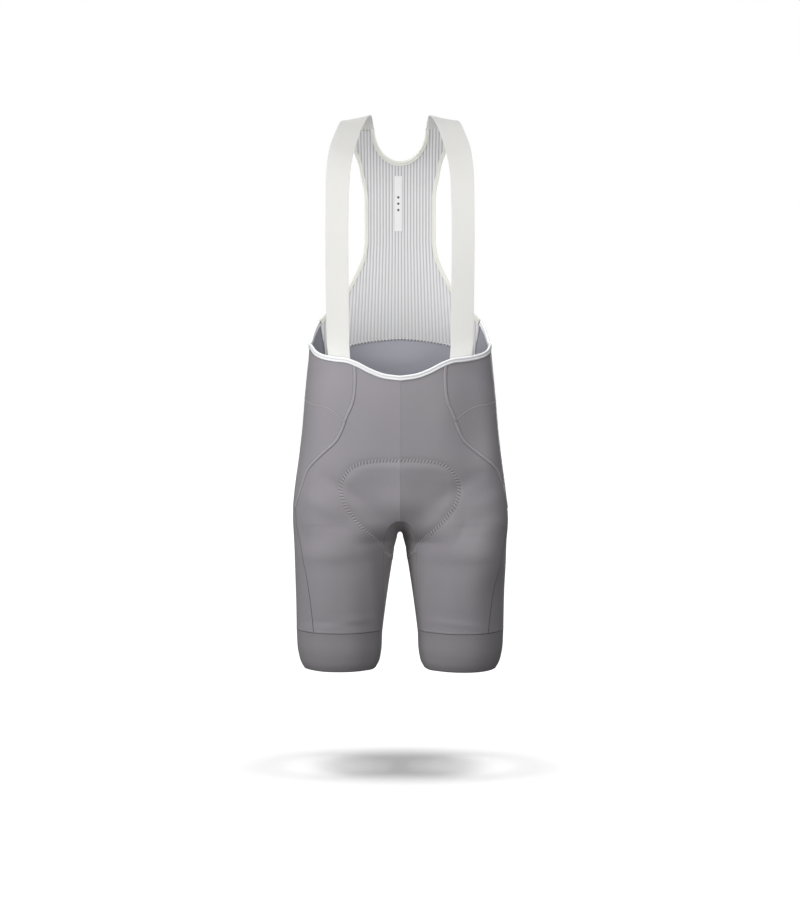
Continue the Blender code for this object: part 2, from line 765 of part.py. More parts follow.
def make_waist_binding(net, normals):
    """Tape over the front edge of the shorts, from one side seam round to the other."""
    columns = [column for column in net_columns() if column <= 2]
    left = []
    edge = [crossing(WAIST, column) for column in columns]
    below = [crossing(ROW_STEPS[0][1], column) for column in columns]
    for i, (top, under) in enumerate(zip(edge, below)):
        along = edge[min(i + 1, len(edge) - 1)] - edge[max(i - 1, 0)]
        if i == 0:
            along = np.array([1.0, 0, 0])
        down = unit(under - top)
        slant = np.linalg.norm(np.cross(unit(along), down))
        reach = WAIST_TAPE_HEIGHT / slant / np.linalg.norm(under - top)
        top_normal, under_normal = normals[net.corner(top)], normals[net.corner(under)]
        low_normal = unit(top_normal + (under_normal - top_normal) * reach)
        left.append((top, top + (under - top) * reach, top_normal, low_normal))
    flip = np.array([-1, 1, 1])
    right = [tuple(value * flip for value in station) for station in left[:0:-1]]
    stations = shortened(right + left, SEAM_GAP / 2)
    make_binding("waist_binding", TAPE_WHITE, stations, TAPE_CLEARANCE, WALL + TAPE_CLEARANCE)


def armhole_path():
    """The armhole's edge from the waist up to the strap, as distances and drops."""
    lower = [lower_rib(rib)[1] for rib in [*range(CORNER_RIB, 12, -1), 12.5, 12]]
    waist = [(BLADE_HALF, drop) for drop in np.linspace(BLADE_DROP, FLARE_DROP, 4)]
    upper = [upper_rib(rib)[0] for rib in np.append(np.arange(12, 13, 0.25),
                                                         np.arange(13, 16, 0.5))]
    return lower + waist + upper + [(TAB_HALF, TAB_DROP)]


def neck_path():
    """The neckline from one strap to the other."""
    ribs = (8, 7.5, 7, 6, 5, 4, 3, 2, 1, 0)
    right = [(NECK_HALF, TAB_DROP)] + [upper_rib(rib)[1] for rib in ribs]
    return right + [(-x, drop) for x, drop in right[-2::-1]]


def make_bib_bindings(tree):
    """Tape over both armholes and the neckline."""
    over = RIB_VALLEY / 2 + RIB_HEIGHT - BIB_SINK + BIB_TAPE_CLEARANCE
    under = RIB_VALLEY / 2 + RIB_HEIGHT + BIB_SINK + BIB_TAPE_CLEARANCE

    path = armhole_path()
    stations = bib_stations(path, -BIB_TAPE_HEIGHT, tree)
    seam_drop = path[0][1] + 1.4 * BIB_TAPE_HEIGHT
    seam_x = surface(smooth(SIDE_SEAM, seam_drop), seam_drop)[0]
    stations[0] = bib_station(path[0], (seam_x, seam_drop), tree)
    stations[-1] = bib_station(path[-1], (TAB_HALF - BIB_TAPE_HEIGHT, TAB_DROP), tree)
    stations = shortened(stations, TAPE_END_GAP)
    for side, name in ((1, "left"), (-1, "right")):
        turned = [tuple(value * (side, 1, 1) for value in station) for station in stations]
        make_binding("armhole_binding_" + name, TAPE_CREAM, turned, over, under)

    stations = bib_stations(neck_path(), -BIB_TAPE_HEIGHT, tree)
    for end, side in ((0, 1), (-1, -1)):
        low = (side * (NECK_HALF + BIB_TAPE_HEIGHT), TAB_DROP)
        stations[end] = bib_station((side * NECK_HALF, TAB_DROP), low, tree)
    stations = shortened(stations, TAPE_END_GAP)
    make_binding("neck_binding", TAPE_CREAM, stations, over, under)


# ---- Straps -----------------------------------------------------------------------

def strap_rows(tree):
    """Rows of corners across a strap on the wearer's left, from its foot upwards.

    The foot lies behind the flat meshes of the front.
    """
    shares = np.linspace(0, 1, STRAP_COLUMNS + 1)
    rows = []
    for drop, outer, inner in STRAP_FOOT:
        row = []
        for x in inner + (outer - inner) * shares:
            turn = front_turn(x, drop)
            point = surface(turn, drop)
            across = surface(turn + 1, drop) - surface(turn - 1, drop)
            along = surface(turn, drop - 1) - surface(turn, drop + 1)
            outward = unit(np.cross(across, along))
            sunk = (point - np.array(tree.find_nearest(point)[0])) @ outward
            row.append(point - outward * (STRAP_FOOT_BEHIND + sunk))
        rows.append(row)
    bow = rows[-1] - np.outer(1 - shares, rows[-1][0]) - np.outer(shares, rows[-1][-1])
    table = [np.concatenate([rows[-1][-1], rows[-1][0]]) * (1, 1, -1, 1, 1, -1)]
    table += [np.array(row, float) for row in STRAP]
    end = [bib_point(x, TAB_DROP) for x in (TAB_HALF, NECK_HALF)]
    table.append(np.concatenate(end) * (1, 1, -1, 1, 1, -1))
    table = [np.concatenate([[place], row]) for place, row in enumerate(table)]
    for place in np.linspace(0, len(table) - 1, STRAP_STEPS * (len(table) - 1) + 1)[1:]:
        values = [smooth(table, place, column) for column in range(1, 7)]
        outer = np.array(values[:3]) * (1, 1, -1)
        inner = np.array(values[3:]) * (1, 1, -1)
        flat = np.outer(1 - shares, inner) + np.outer(shares, outer)
        rows.append(flat + bow * max(0.0, 1 - place / 3))
    return rows


def make_straps(shorts):
    rows = strap_rows(tree_of(shorts))
    net = Net()
    for low, high in zip(rows, rows[1:]):
        for i in range(STRAP_COLUMNS):
            quad = [low[i], low[i + 1], high[i + 1], high[i]]
            net.add("strap_left", quad)
            net.add("strap_right", mirrored(quad))
    normals = net.normals()
    for point in rows[-1]:
        for side in (1, -1):
            here = point * (side, 1, 1)
            normals[net.corner(here)] = bib_normal(here[0], TAB_DROP)
    for name, faces in net.pieces.items():
        make_wall(name, ELASTIC, net.points, normals, faces, gap=BIB_SEAM_GAP)


def main():
    for old in list(bpy.data.objects):
        bpy.data.objects.remove(old, do_unlink=True)
    shorts, normals = make_shorts()
    make_waist_binding(shorts, normals)
    make_straps(shorts)
    bib_tree = make_bib()
    make_bib_bindings(bib_tree)
    make_label(bib_tree)


main()
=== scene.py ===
# %% [markdown]
# # Cycling bib shorts, cut, sewn and lit
#
# A pair of bib shorts is a tube of stretch knit that parts into two legs, a ribbed
# back that rises to the shoulders, and two flat elastics that come over the shoulders
# and down to the waist. The frame that this lesson loads already holds every cut piece
# as a plain solid of the right size. Each step here replaces one of those pieces with
# the same piece as it looks when it is sewn: a finer net of the same surface, with its
# folds, seams, stitches, edges and weave.
#
# Lengths are in millimetres and heights are drops below the shoulders, as a pattern
# cutter would measure them. They become metres only where a mesh is made.

import math

import bmesh
import bpy
import numpy as np
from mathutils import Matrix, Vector
from mathutils.bvhtree import BVHTree


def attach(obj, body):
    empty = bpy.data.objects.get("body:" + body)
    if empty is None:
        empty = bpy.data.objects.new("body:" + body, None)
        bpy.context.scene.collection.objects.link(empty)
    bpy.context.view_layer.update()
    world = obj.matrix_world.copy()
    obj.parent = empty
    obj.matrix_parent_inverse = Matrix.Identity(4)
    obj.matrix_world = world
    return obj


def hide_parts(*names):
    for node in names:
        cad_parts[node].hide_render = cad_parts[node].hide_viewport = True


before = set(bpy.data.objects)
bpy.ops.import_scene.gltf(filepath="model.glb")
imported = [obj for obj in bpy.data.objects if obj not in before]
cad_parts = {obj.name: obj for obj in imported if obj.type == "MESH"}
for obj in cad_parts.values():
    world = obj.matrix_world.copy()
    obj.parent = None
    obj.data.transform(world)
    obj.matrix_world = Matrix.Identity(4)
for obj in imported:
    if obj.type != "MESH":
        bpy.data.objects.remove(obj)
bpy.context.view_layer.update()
MM = 0.001

# %% [markdown]
# ## The camera
#
# A long lens at the height of the waist, tilted a little down, keeps both legs upright
# and shows the inside of the back over the low front of the waist. The camera comes
# first, so that everything made later can be looked at from where it will be seen.

# %% Camera
CAMERA_PLACE = (0.0, -2.6, -0.471)
CAMERA_AIM = (0.0, 0.0, -0.5665)
LENS, SENSOR_HEIGHT = 61.2, 36.0


def add_object(name, data):
    """Put a mesh, a light or a camera into the scene."""
    thing = bpy.data.objects.new(name, data)
    bpy.context.scene.collection.objects.link(thing)
    return thing


def look(thing, place, aim):
    """Move a camera or a light to a place, and turn it to look at another."""
    thing.location = place
    thing.rotation_euler = (Vector(aim) - Vector(place)).to_track_quat("-Z", "Y").to_euler()


def make_camera():
    """A camera that looks at the waist from the front."""
    data = bpy.data.cameras.new("camera")
    data.lens, data.sensor_height, data.sensor_fit = LENS, SENSOR_HEIGHT, "VERTICAL"
    camera = add_object("camera", data)
    look(camera, CAMERA_PLACE, CAMERA_AIM)
    bpy.context.scene.camera = camera
    return camera


print("camera:", make_camera().name)

# %% [markdown]
# ## The measured body of the shorts
#
# The whole garment lies on one closed surface. At each height it is a rounded ring,
# half a width and two depths, and lower down it parts into a ring for each leg. A
# place on it is a turn, counted in degrees from the centre front to the centre back,
# and a drop. These are the tables that the solids were worked out from, so a finer net
# read from them lies on the same surface.

# %% Sizes of the cloth and the rings
WALL = 1.2              # knitted cloth, and the elastic of the straps
OUTER, INNER, FRONT, BACK = range(1, 5)         # columns of the next table, after the drop
SECTIONS = (            # drop, half width, inside of a leg, depth in front and behind
    (16, 200, 0, 40, 42),
    (35, 200, 0, 60, 62),
    (60, 200, 0, 82, 86),
    (97, 200, 0, 103, 107),
    (147, 195, 0, 114, 116),
    (205, 182, 0, 115, 116),
    (265, 166, 0, 112, 110),
    (325, 154, 0, 108, 105),
    (385, 153, 0, 108, 102),
    (431, 157, 0, 110, 104),
    (475, 161, 0, 112, 112),
    (537, 166, 0, 112, 124),
    (587, 172, 0, 110, 131),
    (622, 177, 0, 106, 132),
    (652, 180.3, 0, 103, 129),
    (678, 181.2, 0, 98, 123),
    (703, 180.6, 0, 97, 116),
    (714, 180.2, 6, 96, 112),
    (730, 179.8, 9, 94, 107),
    (748, 179.4, 12, 91, 101),
    (785, 178, 18, 87, 94),
    (816, 177, 22.5, 83, 88),
    (852, 176.4, 27.3, 78, 82),
    (874, 176, 30, 76, 78),
    (911, 173, 32.3, 73, 75),
    (927, 168.5, 36, 69, 71),
    (935, 164, 40.5, 65, 67),
)
TRUNK_POWER = 2.4       # how square the ring of the trunk is
LEG_POWER = 2.2         # and that of a leg
SPLIT_TOP, SPLIT_DROP = 687, 60         # the trunk parts into legs over this height
DIP_REACH = 94          # the cloth is drawn in about the crotch, this far to each side
FRONT_DIP = (627, 90, 60)               # from this drop, over this height, this deep
BACK_DIP = (607, 105, 70)

# %% Seams and edges
ARCH_TOP, ARCH_DROP = 673, 41           # the gusset's seams arch over the crotch
CROTCH_DROP, CROTCH_ANGLE = 703.6, 60
FRONT_INSEAM, BACK_INSEAM = 1, 2
INSEAMS = (             # drop, distance of the front and the back seam from the middle
    (714, 28, 26), (785, 28, 30), (811, 28, 32), (838, 29.3, 34.5), (874, 31.4, 38),
    (911, 33.8, 40), (927, 37.5, 43.5), (935, 42, 48),
)
PRINCESS_SEAM = (       # drop, distance from the middle
    (417, 75), (452, 73.7), (487, 78.5), (509, 88), (528, 94.6), (548, 105),
    (567, 124), (576, 133), (596, 149.6), (622, 159.5), (647, 168), (661, 172),
    (681, 169.8), (713, 166), (745, 161.5), (771, 156.5), (822, 149), (858, 145.4),
    (935, 137),
)
SIDE_SEAM = (           # drop, turn
    (344, 115), (405, 125), (468, 127), (560, 115), (650, 107), (760, 110), (869, 120),
    (935, 120),
)
WAIST_EDGE = (          # turn, drop, as in every level below
    (0, 443), (7, 439), (14, 431), (21.5, 421), (28, 415), (40, 411.5), (54, 406),
    (63, 400), (73, 391), (85, 387), (96, 382), (106, 362), (115, 346), (125, 334),
)
BIB_SEAM = (
    (0, 472), (30, 447), (75, 428), (105, 415), (125, 405), (149, 386.5), (167, 378),
    (180, 374.5),
)
YOKE_SEAM = (
    (0, 530), (20, 525), (31, 512), (36, 502.5), (44, 493.5), (56, 489), (76, 482),
    (90, 477), (128, 468), (180, 466),
)
HIP_LINE = ((0, 640), (70, 661), (106, 650), (180, 640))
CROTCH_LINE = ((0, ARCH_TOP), (70, 695), (106, 695), (180, ARCH_TOP))
LEG_LINE = ((0, ARCH_TOP + ARCH_DROP), (180, ARCH_TOP + ARCH_DROP))
BAND_SEAM = ((0, 869), (180, 869))
HEM = ((0, 935), (180, 935))
LEVELS = (WAIST_EDGE, BIB_SEAM, YOKE_SEAM, HIP_LINE, CROTCH_LINE, LEG_LINE, BAND_SEAM, HEM)
WAIST, BIB, YOKE, HIP, CROTCH, LEG, BAND, END = range(8)


# %% Curves read from the tables
def smooth(table, place, column=1):
    """Read a column of a table on a smooth curve through its rows."""
    rows = np.array(table, float)
    places, values = rows[:, 0], rows[:, column]
    slopes = np.gradient(values, places)
    place = np.clip(place, places[0], places[-1])
    low = np.clip(np.searchsorted(places, place, side="right") - 1, 0, len(places) - 2)
    step = places[low + 1] - places[low]
    t = (place - places[low]) / step
    start = (1 + 2 * t) * (1 - t) ** 2 * values[low] + t * (1 - t) ** 2 * step * slopes[low]
    end = t * t * (3 - 2 * t) * values[low + 1] + t * t * (t - 1) * step * slopes[low + 1]
    return start + end


def ease(share):
    """Go from 0 to 1 with a soft start and a soft end."""
    share = np.clip(share, 0, 1)
    return share * share * (3 - 2 * share)


def signed_power(value, exponent):
    return np.sign(value) * np.abs(value) ** exponent


def travel_along(points):
    """How far along a path each of its points lies."""
    return np.concatenate([[0], np.linalg.norm(np.diff(points, axis=0), axis=1).cumsum()])


def unit(vectors):
    vectors = np.asarray(vectors, float)
    return vectors / np.maximum(np.linalg.norm(vectors, axis=-1, keepdims=True), 1e-12)


# %% The surface itself
def inseam(drop, column):
    """Distance of a gusset seam from the middle: nothing above the arch."""
    arch = np.clip((drop - ARCH_TOP) / ARCH_DROP, 0, 1)
    return smooth(INSEAMS, drop, column) * np.sqrt(1 - (1 - arch) ** 2)


def dip(drop, across, measures):
    """How far the cloth is drawn in beside the middle, above the crotch."""
    top, height, depth = measures
    share = np.clip((drop - top) / height, 0, 1)
    return depth * share ** 3 * np.clip(1 - across / DIP_REACH, 0, 1) ** 2


def leg_ring(drop):
    """Middle and radius of the leg's ring across."""
    outer, inner = smooth(SECTIONS, drop, OUTER), smooth(SECTIONS, drop, INNER)
    return (outer + inner) / 2, (outer - inner) / 2


def inseam_angle(drop, column):
    """Angle round the leg's ring from its innermost point to a gusset seam."""
    middle, radius = leg_ring(drop)
    share = np.clip((middle - inseam(drop, column)) / radius, -1, 1)
    return np.arccos(signed_power(share, LEG_POWER / 2))


def surface(turn, drop):
    """A point of the cloth's outer face, on the wearer's left."""
    turn, drop = np.broadcast_arrays(np.asarray(turn, float), np.asarray(drop, float))
    behind = turn > 90
    share = np.where(behind, 180 - turn, turn) / 90
    outer = smooth(SECTIONS, drop, OUTER)
    depth = np.where(behind, smooth(SECTIONS, drop, BACK), smooth(SECTIONS, drop, FRONT))
    seam = np.where(behind, inseam(drop, BACK_INSEAM), inseam(drop, FRONT_INSEAM))
    start = np.arcsin((seam / outer) ** (TRUNK_POWER / 2))
    x_trunk = outer * np.sin(start + share * (math.pi / 2 - start)) ** (2 / TRUNK_POWER)
    middle, radius = leg_ring(drop)
    start = np.where(behind, inseam_angle(drop, BACK_INSEAM), inseam_angle(drop, FRONT_INSEAM))
    swing = start + share * (math.pi - start)
    x_leg = middle - radius * signed_power(np.cos(swing), 2 / LEG_POWER)
    split = ease((drop - SPLIT_TOP) / SPLIT_DROP)
    x = x_trunk + split * (x_leg - x_trunk)
    drawn_in = np.where(behind, dip(drop, x, BACK_DIP), dip(drop, x, FRONT_DIP))
    across = np.clip(x / outer, 0, 1)
    trunk = depth * (1 - across ** TRUNK_POWER) ** (1 / TRUNK_POWER) - drawn_in
    across = np.clip(np.abs(x - middle) / radius, 0, 1)
    leg = depth * (1 - across ** LEG_POWER) ** (1 / LEG_POWER)
    y = trunk + split * (leg - trunk)
    return np.stack([x, np.where(behind, y, -y), -drop], axis=-1)


HALVINGS = 40           # of the range in which a turn is looked for


def turn_at(across, drop, behind=False):
    """The turn at which the front, or the back, is given distances from the middle."""
    across, drop = np.broadcast_arrays(np.asarray(across, float), np.asarray(drop, float))
    low, high = np.full(across.shape, 180.0 if behind else 0.0), np.full(across.shape, 90.0)
    for _ in range(HALVINGS):
        turn = (low + high) / 2
        short = surface(turn, drop)[..., 0] < across
        low, high = np.where(short, turn, low), np.where(short, high, turn)
    return (low + high) / 2


PRINCESS_TURNS = [(drop, float(turn_at(across, drop))) for drop, across in PRINCESS_SEAM]
print("princess seam turns from", round(PRINCESS_TURNS[0][1]), "to",
      round(max(turn for _, turn in PRINCESS_TURNS)), "degrees")

# %% [markdown]
# ## One net for the whole garment
#
# Pieces that are sewn together have to meet without a step, so they are not modelled
# one by one. One net of rows and columns covers the body. Four of its columns run
# down the centre front, the princess seam, the side seam and the centre back, and
# eight of its rows are the edges and cross seams. A piece is then a patch cut out of
# that net, exactly as a pattern piece is.

# %% Where rows and columns cross
ROW_COUNTS = (16, 26, 56, 16, 22, 62, 28)
COLUMN_COUNTS = (56, 58, 50)
GUSSET_COUNT = 22       # on each side of the gusset's middle line
ARCH_CROWDING = 0.75    # how closely the rows at the top of the arch follow it
SETTLING_ROUNDS = 24    # until a crossing lies on its row and on its column
SIDE_NAMES = {"left": 1, "right": -1}           # the wearer's, and the sign of x there
SIDES = tuple(SIDE_NAMES.values())


def between(levels, places):
    """Read a stack of arrays at fractional places in the stack."""
    low = np.clip(places.astype(int), 0, len(levels) - 2)
    first = np.take_along_axis(levels, low[None], 0)[0]
    second = np.take_along_axis(levels, low[None] + 1, 0)[0]
    return first + (places - low) * (second - first)


def column_turn(columns, drop):
    """Turn of each column: 0 centre front, 1 princess seam, 2 side seam, 3 centre back."""
    seams = np.stack([0 * drop, smooth(PRINCESS_TURNS, drop), smooth(SIDE_SEAM, drop),
                      180 + 0 * drop])
    return between(seams, columns)


def crossing(rows, columns):
    """Turns and drops where rows of the net meet its columns."""
    rows, columns = np.broadcast_arrays(np.asarray(rows, float), np.asarray(columns, float))
    turn = 180 / 3 * columns
    for _ in range(SETTLING_ROUNDS):
        drop = between(np.stack([smooth(level, turn) for level in LEVELS]), rows)
        turn = (turn + column_turn(columns, drop)) / 2
    return turn, drop


def net_rows():
    """Every row, closer together at the top of the arch, where the seam turns level."""
    rows = []
    for level, count in enumerate(ROW_COUNTS):
        share = np.arange(count) / count
        if level == CROTCH:
            arched = 1 - np.cos(math.pi / 2 * share)
            share = (1 - ARCH_CROWDING) * share + ARCH_CROWDING * arched
        rows.append(level + share)
    return np.append(np.concatenate(rows), END)


def net_columns():
    steps = [start + np.arange(count) / count for start, count in enumerate(COLUMN_COUNTS)]
    return np.append(np.concatenate(steps), 3)


rows, columns = net_rows(), net_columns()
row_of = {level: int(np.argmin(abs(rows - level))) for level in range(len(LEVELS))}
column_of = {seam: int(np.argmin(abs(columns - seam))) for seam in range(4)}
grid_turn, grid_drop = crossing(rows[:, None], columns[None, :])
print("net:", len(rows), "rows by", len(columns), "columns on each side")

# %% [markdown]
# ## Folds
#
# Stretch knit that is filled out has few folds, and they are soft. It spans the hollow
# between hip and thigh in a broad swell. A ridge runs down the centre front, where two
# panels meet over the pad. Shallow drags run from the crotch towards the hips, there
# are hollows under the seat and in the small of the back, and slack above the leg
# bands. A simulation would wrinkle such cloth at random, so each fold is placed one by
# one as a soft trough or ridge, a little different left and right.

# %% Folds, placed one by one
DEGREE = 2.0            # millimetres of cloth to a degree of turn, near enough for a fold
FOLDS = (               # turn and drop at both ends, bow, half width, height
    # broad swells and hollows, where the cloth is stretched flat over hips and groin
    (61, 390, 60, 750, 2, 31, 11.5),
    (45, 600, 50, 900, 0, 42, 8.0),
    (-14, 684, 40, 688, 0, 30, 4.4),
    (30, 690, 62, 692, 0, 34, 7.0),
    (-24, 690, -60, 690, 0, 36, 8.0),
    (-22, 636, -56, 640, 0, 50, 5.0),
    (-55, 435, -54, 680, 2, 34, 3.6),
    (-15, 606, -13, 704, 1, 20, -3.0),
    (15, 612, 13, 704, 1, 20, -2.2),
    (11, 745, 12, 930, 1, 13, 2.6),
    (-12, 760, -9, 930, 1, 12, 2.4),
    (-64, 770, -66, 930, 1, 18, -1.6),
    # front, right side of the wearer first
    (-6, 452, -10, 556, 3, 16, 0.7),
    (8, 455, 16, 560, -4, 18, -0.9),
    (26, 470, 20, 560, 5, 17, 0.9),
    (-24, 470, -20, 552, -4, 15, -0.6),
    (-50, 505, -38, 590, 6, 16, 0.6),
    (44, 512, 33, 600, -6, 17, -0.8),
    (58, 520, 47, 610, -4, 14, 0.8),
    (-46, 425, -60, 470, 3, 12, -0.6),
    (48, 430, 66, 468, -3, 13, -0.8),
    (37, 440, 52, 480, -3, 10, 0.6),
    # drags from the crotch up to the hips
    (-9, 668, -40, 610, 6, 11, -1.5),
    (9, 670, 42, 606, -6, 12, -1.6),
    (-20, 684, -58, 640, 5, 12, 0.7),
    (22, 688, 60, 636, -6, 13, 0.8),
    # front of the legs
    (-30, 735, -24, 838, 3, 22, -0.8),
    (34, 740, 40, 842, -4, 22, 0.8),
    (-62, 745, -66, 850, 3, 18, 0.6),
    (66, 742, 62, 850, -3, 20, -0.8),
    (-12, 846, -48, 858, 4, 7, 0.7),
    (14, 850, 58, 861, -4, 6, 0.6),
    (-20, 858, -66, 850, 3, 6, -0.5),
    # outer sides
    (-96, 505, -88, 600, 6, 20, 0.8),
    (98, 510, 90, 606, -6, 22, -0.8),
    (-84, 410, -102, 452, 3, 11, -0.8),
    (86, 412, 104, 456, -4, 12, 0.7),
    (-100, 690, -86, 760, 5, 18, -0.7),
    (98, 700, 88, 770, -5, 18, 0.7),
    # small of the back and seat
    (150, 470, 208, 476, 12, 14, -1.3),
    (152, 500, 196, 494, -9, 13, 0.9),
    (164, 420, 199, 430, 8, 13, 0.7),
    (176, 590, 172, 668, 3, 13, -1.5),
    (184, 600, 189, 664, -3, 12, -1.2),
    (139, 655, 168, 694, 12, 12, -1.6),
    (221, 652, 192, 696, -12, 12, -1.8),
    (132, 680, 164, 712, 10, 9, 0.9),
    (229, 676, 196, 714, -10, 10, 1.0),
    (150, 716, 172, 740, 7, 8, -0.8),
    (211, 718, 189, 738, -7, 8, -0.9),
    # back of the legs
    (140, 770, 148, 850, 3, 18, 0.8),
    (222, 766, 212, 852, -4, 20, -0.8),
    (160, 800, 156, 862, 3, 14, -0.7),
    (200, 796, 206, 860, -3, 14, 0.7),
    (134, 852, 170, 860, 5, 7, -0.6),
    (228, 855, 192, 849, -5, 7, 0.6),
)
FOLD_ENDS, FOLD_MIDDLE = 0.45, 0.55     # share of its height at the ends, and what is added
LEVEL_TOP, LEVEL_DROP = 700, 60         # folds part with the legs over this height
CENTRE_RIDGE = (6.5, 40.0)              # height at the crotch, half width
CENTRE_RIDGE_TOP, CENTRE_RIDGE_DROP = 560, 110
CENTRE_RIDGE_START = 0.32               # share of that height at the waist
CENTRE_RIDGE_POWER = 1.6                # how narrow its crest is


def fold_height(turn, drop):
    """Height of all folds at signed turns, 0 at the centre front, and drops."""
    total = np.zeros(np.broadcast(turn, drop).shape)
    for turn0, drop0, turn1, drop1, bow, width, height in FOLDS:
        middle = (turn0 + turn1) / 2
        near = (turn - middle + 180) % 360 - 180 + middle
        along = np.array([(turn1 - turn0) * DEGREE, drop1 - drop0])
        length = np.linalg.norm(along)
        across = np.array([-along[1], along[0]]) / length
        x, y = (near - turn0) * DEGREE, drop - drop0
        share = np.clip((x * along[0] + y * along[1]) / length ** 2, 0, 1)
        curve = 4 * bow * share * (1 - share)
        gap_x = x - share * along[0] - curve * across[0]
        gap_y = y - share * along[1] - curve * across[1]
        fade = FOLD_ENDS + FOLD_MIDDLE * np.sin(math.pi * share)
        total += height * fade * np.exp(-(gap_x ** 2 + gap_y ** 2) / width ** 2)
    return total


def level_turn(turn, drop):
    """The turn to read folds at: below the crotch the gusset pushes the front and the
    back aside, and a fold that crosses there isn't pushed with them at once."""
    behind = turn > 90
    seam = np.where(behind, inseam(drop, BACK_INSEAM), inseam(drop, FRONT_INSEAM))
    pushed = np.degrees(np.arcsin((seam / smooth(SECTIONS, drop, OUTER)) ** (TRUNK_POWER / 2)))
    pushed = pushed * (1 - np.where(behind, 180 - turn, turn) / 90)
    pushed = pushed * (1 - ease((drop - LEVEL_TOP) / LEVEL_DROP))
    return turn + np.where(behind, -pushed, pushed)


def centre_ridge(x, drop):
    """The ridge that the centre front seam makes as it runs down over the pad."""
    height, width = CENTRE_RIDGE
    grown = ease((drop - CENTRE_RIDGE_TOP) / CENTRE_RIDGE_DROP)
    grown = CENTRE_RIDGE_START + (1 - CENTRE_RIDGE_START) * grown
    return height * grown * np.clip(1 - np.abs(x) / width, 0, 1) ** CENTRE_RIDGE_POWER


print("folds:", len(FOLDS))

# %% [markdown]
# ## The pad behind the cloth
#
# The seat pad is sewn to the inside, so outside only its rim shows: the cloth stands a
# little proud over it and is drawn down along its zigzag. Its outline is a short list
# of places. How deep a point lies inside that outline decides how far the cloth rises.

# %% Outline of the pad and the swelling over it
PAD_FRONT = (           # distance from the middle, drop
    (0, 580), (24, 580), (49, 582), (69, 587), (82, 595), (92, 609), (97, 624), (95, 640),
    (89, 655), (79, 670), (66, 686), (52, 699), (39, 712), (27, 727),
)
PAD_BACK = (
    (28, 729), (55, 705), (80, 680), (100, 650), (105, 620), (95, 590), (75, 570),
    (45, 560), (0, 556),
)
PAD_FOOT = 731          # where its rim crosses the gusset inside each leg
PAD_RISE, PAD_SLOPE = 1.1, 14.0
PAD_DRAWN, PAD_DRAWN_WIDTH = 0.55, 4.0


def rounded_path(points, step=2.0):
    """A smooth path through a few points, as many short steps."""
    points = np.array(points, float)
    table = np.column_stack([np.arange(len(points)), points])
    count = int(np.linalg.norm(np.diff(points, axis=0), axis=1).sum() / step)
    places = np.linspace(0, len(points) - 1, count)
    return np.stack([smooth(table, places, 1 + axis) for axis in range(points.shape[1])], -1)


def inside_depth(path, x, drop):
    """Distance from a path that runs down from the middle, positive on its inner side."""
    x = np.abs(x)
    best, signed = np.full(x.shape, np.inf), np.zeros(x.shape)
    for (x0, d0), (x1, d1) in zip(path[:-1], path[1:]):
        along_x, along_d = x1 - x0, d1 - d0
        length = along_x ** 2 + along_d ** 2
        share = np.clip(((x - x0) * along_x + (drop - d0) * along_d) / length, 0, 1)
        gap_x, gap_d = x - x0 - share * along_x, drop - d0 - share * along_d
        distance = np.hypot(gap_x, gap_d)
        side = np.sign(along_x * gap_d - along_d * gap_x)
        nearer = distance < best - 1e-9
        best = np.where(nearer, distance, best)
        signed = np.where(nearer, side * distance, signed)
    return signed


pad_front, pad_back = rounded_path(PAD_FRONT, 6.0), rounded_path(PAD_BACK[::-1], 6.0)


def pad_height(depth):
    """Rise of the cloth over the pad, and the line where the stitches draw it down."""
    drawn = PAD_DRAWN * np.exp(-(depth / PAD_DRAWN_WIDTH) ** 2)
    return PAD_RISE * ease(depth / PAD_SLOPE) - drawn


def relief(side, turn, drop):
    """Height of the cloth over the measured body, on one side, for places on its net."""
    x = surface(turn, drop)[..., 0]
    depth = np.where(turn < 90, inside_depth(pad_front, x, drop),
                     inside_depth(pad_back, x, drop))
    total = fold_height(side * level_turn(turn, drop), drop) + pad_height(depth)
    return total + np.where(turn < 90, centre_ridge(x, drop), 0)


reliefs = {side: relief(side, grid_turn, grid_drop) for side in SIDES}
print("cloth stands", round(float(min(r.min() for r in reliefs.values())), 1), "to",
      round(float(max(r.max() for r in reliefs.values())), 1), "mm off the measured body")

# %% [markdown]
# ## Cutting the pieces
#
# Each patch keeps, for every corner, its place, its height and two distances along the
# cloth. Those distances become the piece's UV map, so that knit and weave follow the
# cloth and not the room. Corners that fall together are merged over all patches before
# the outward directions are worked out, which is why seams do not show as creases.

# %% Patches of the net
UV_TURN = 1.9           # millimetres along the cloth to a degree, for the weave


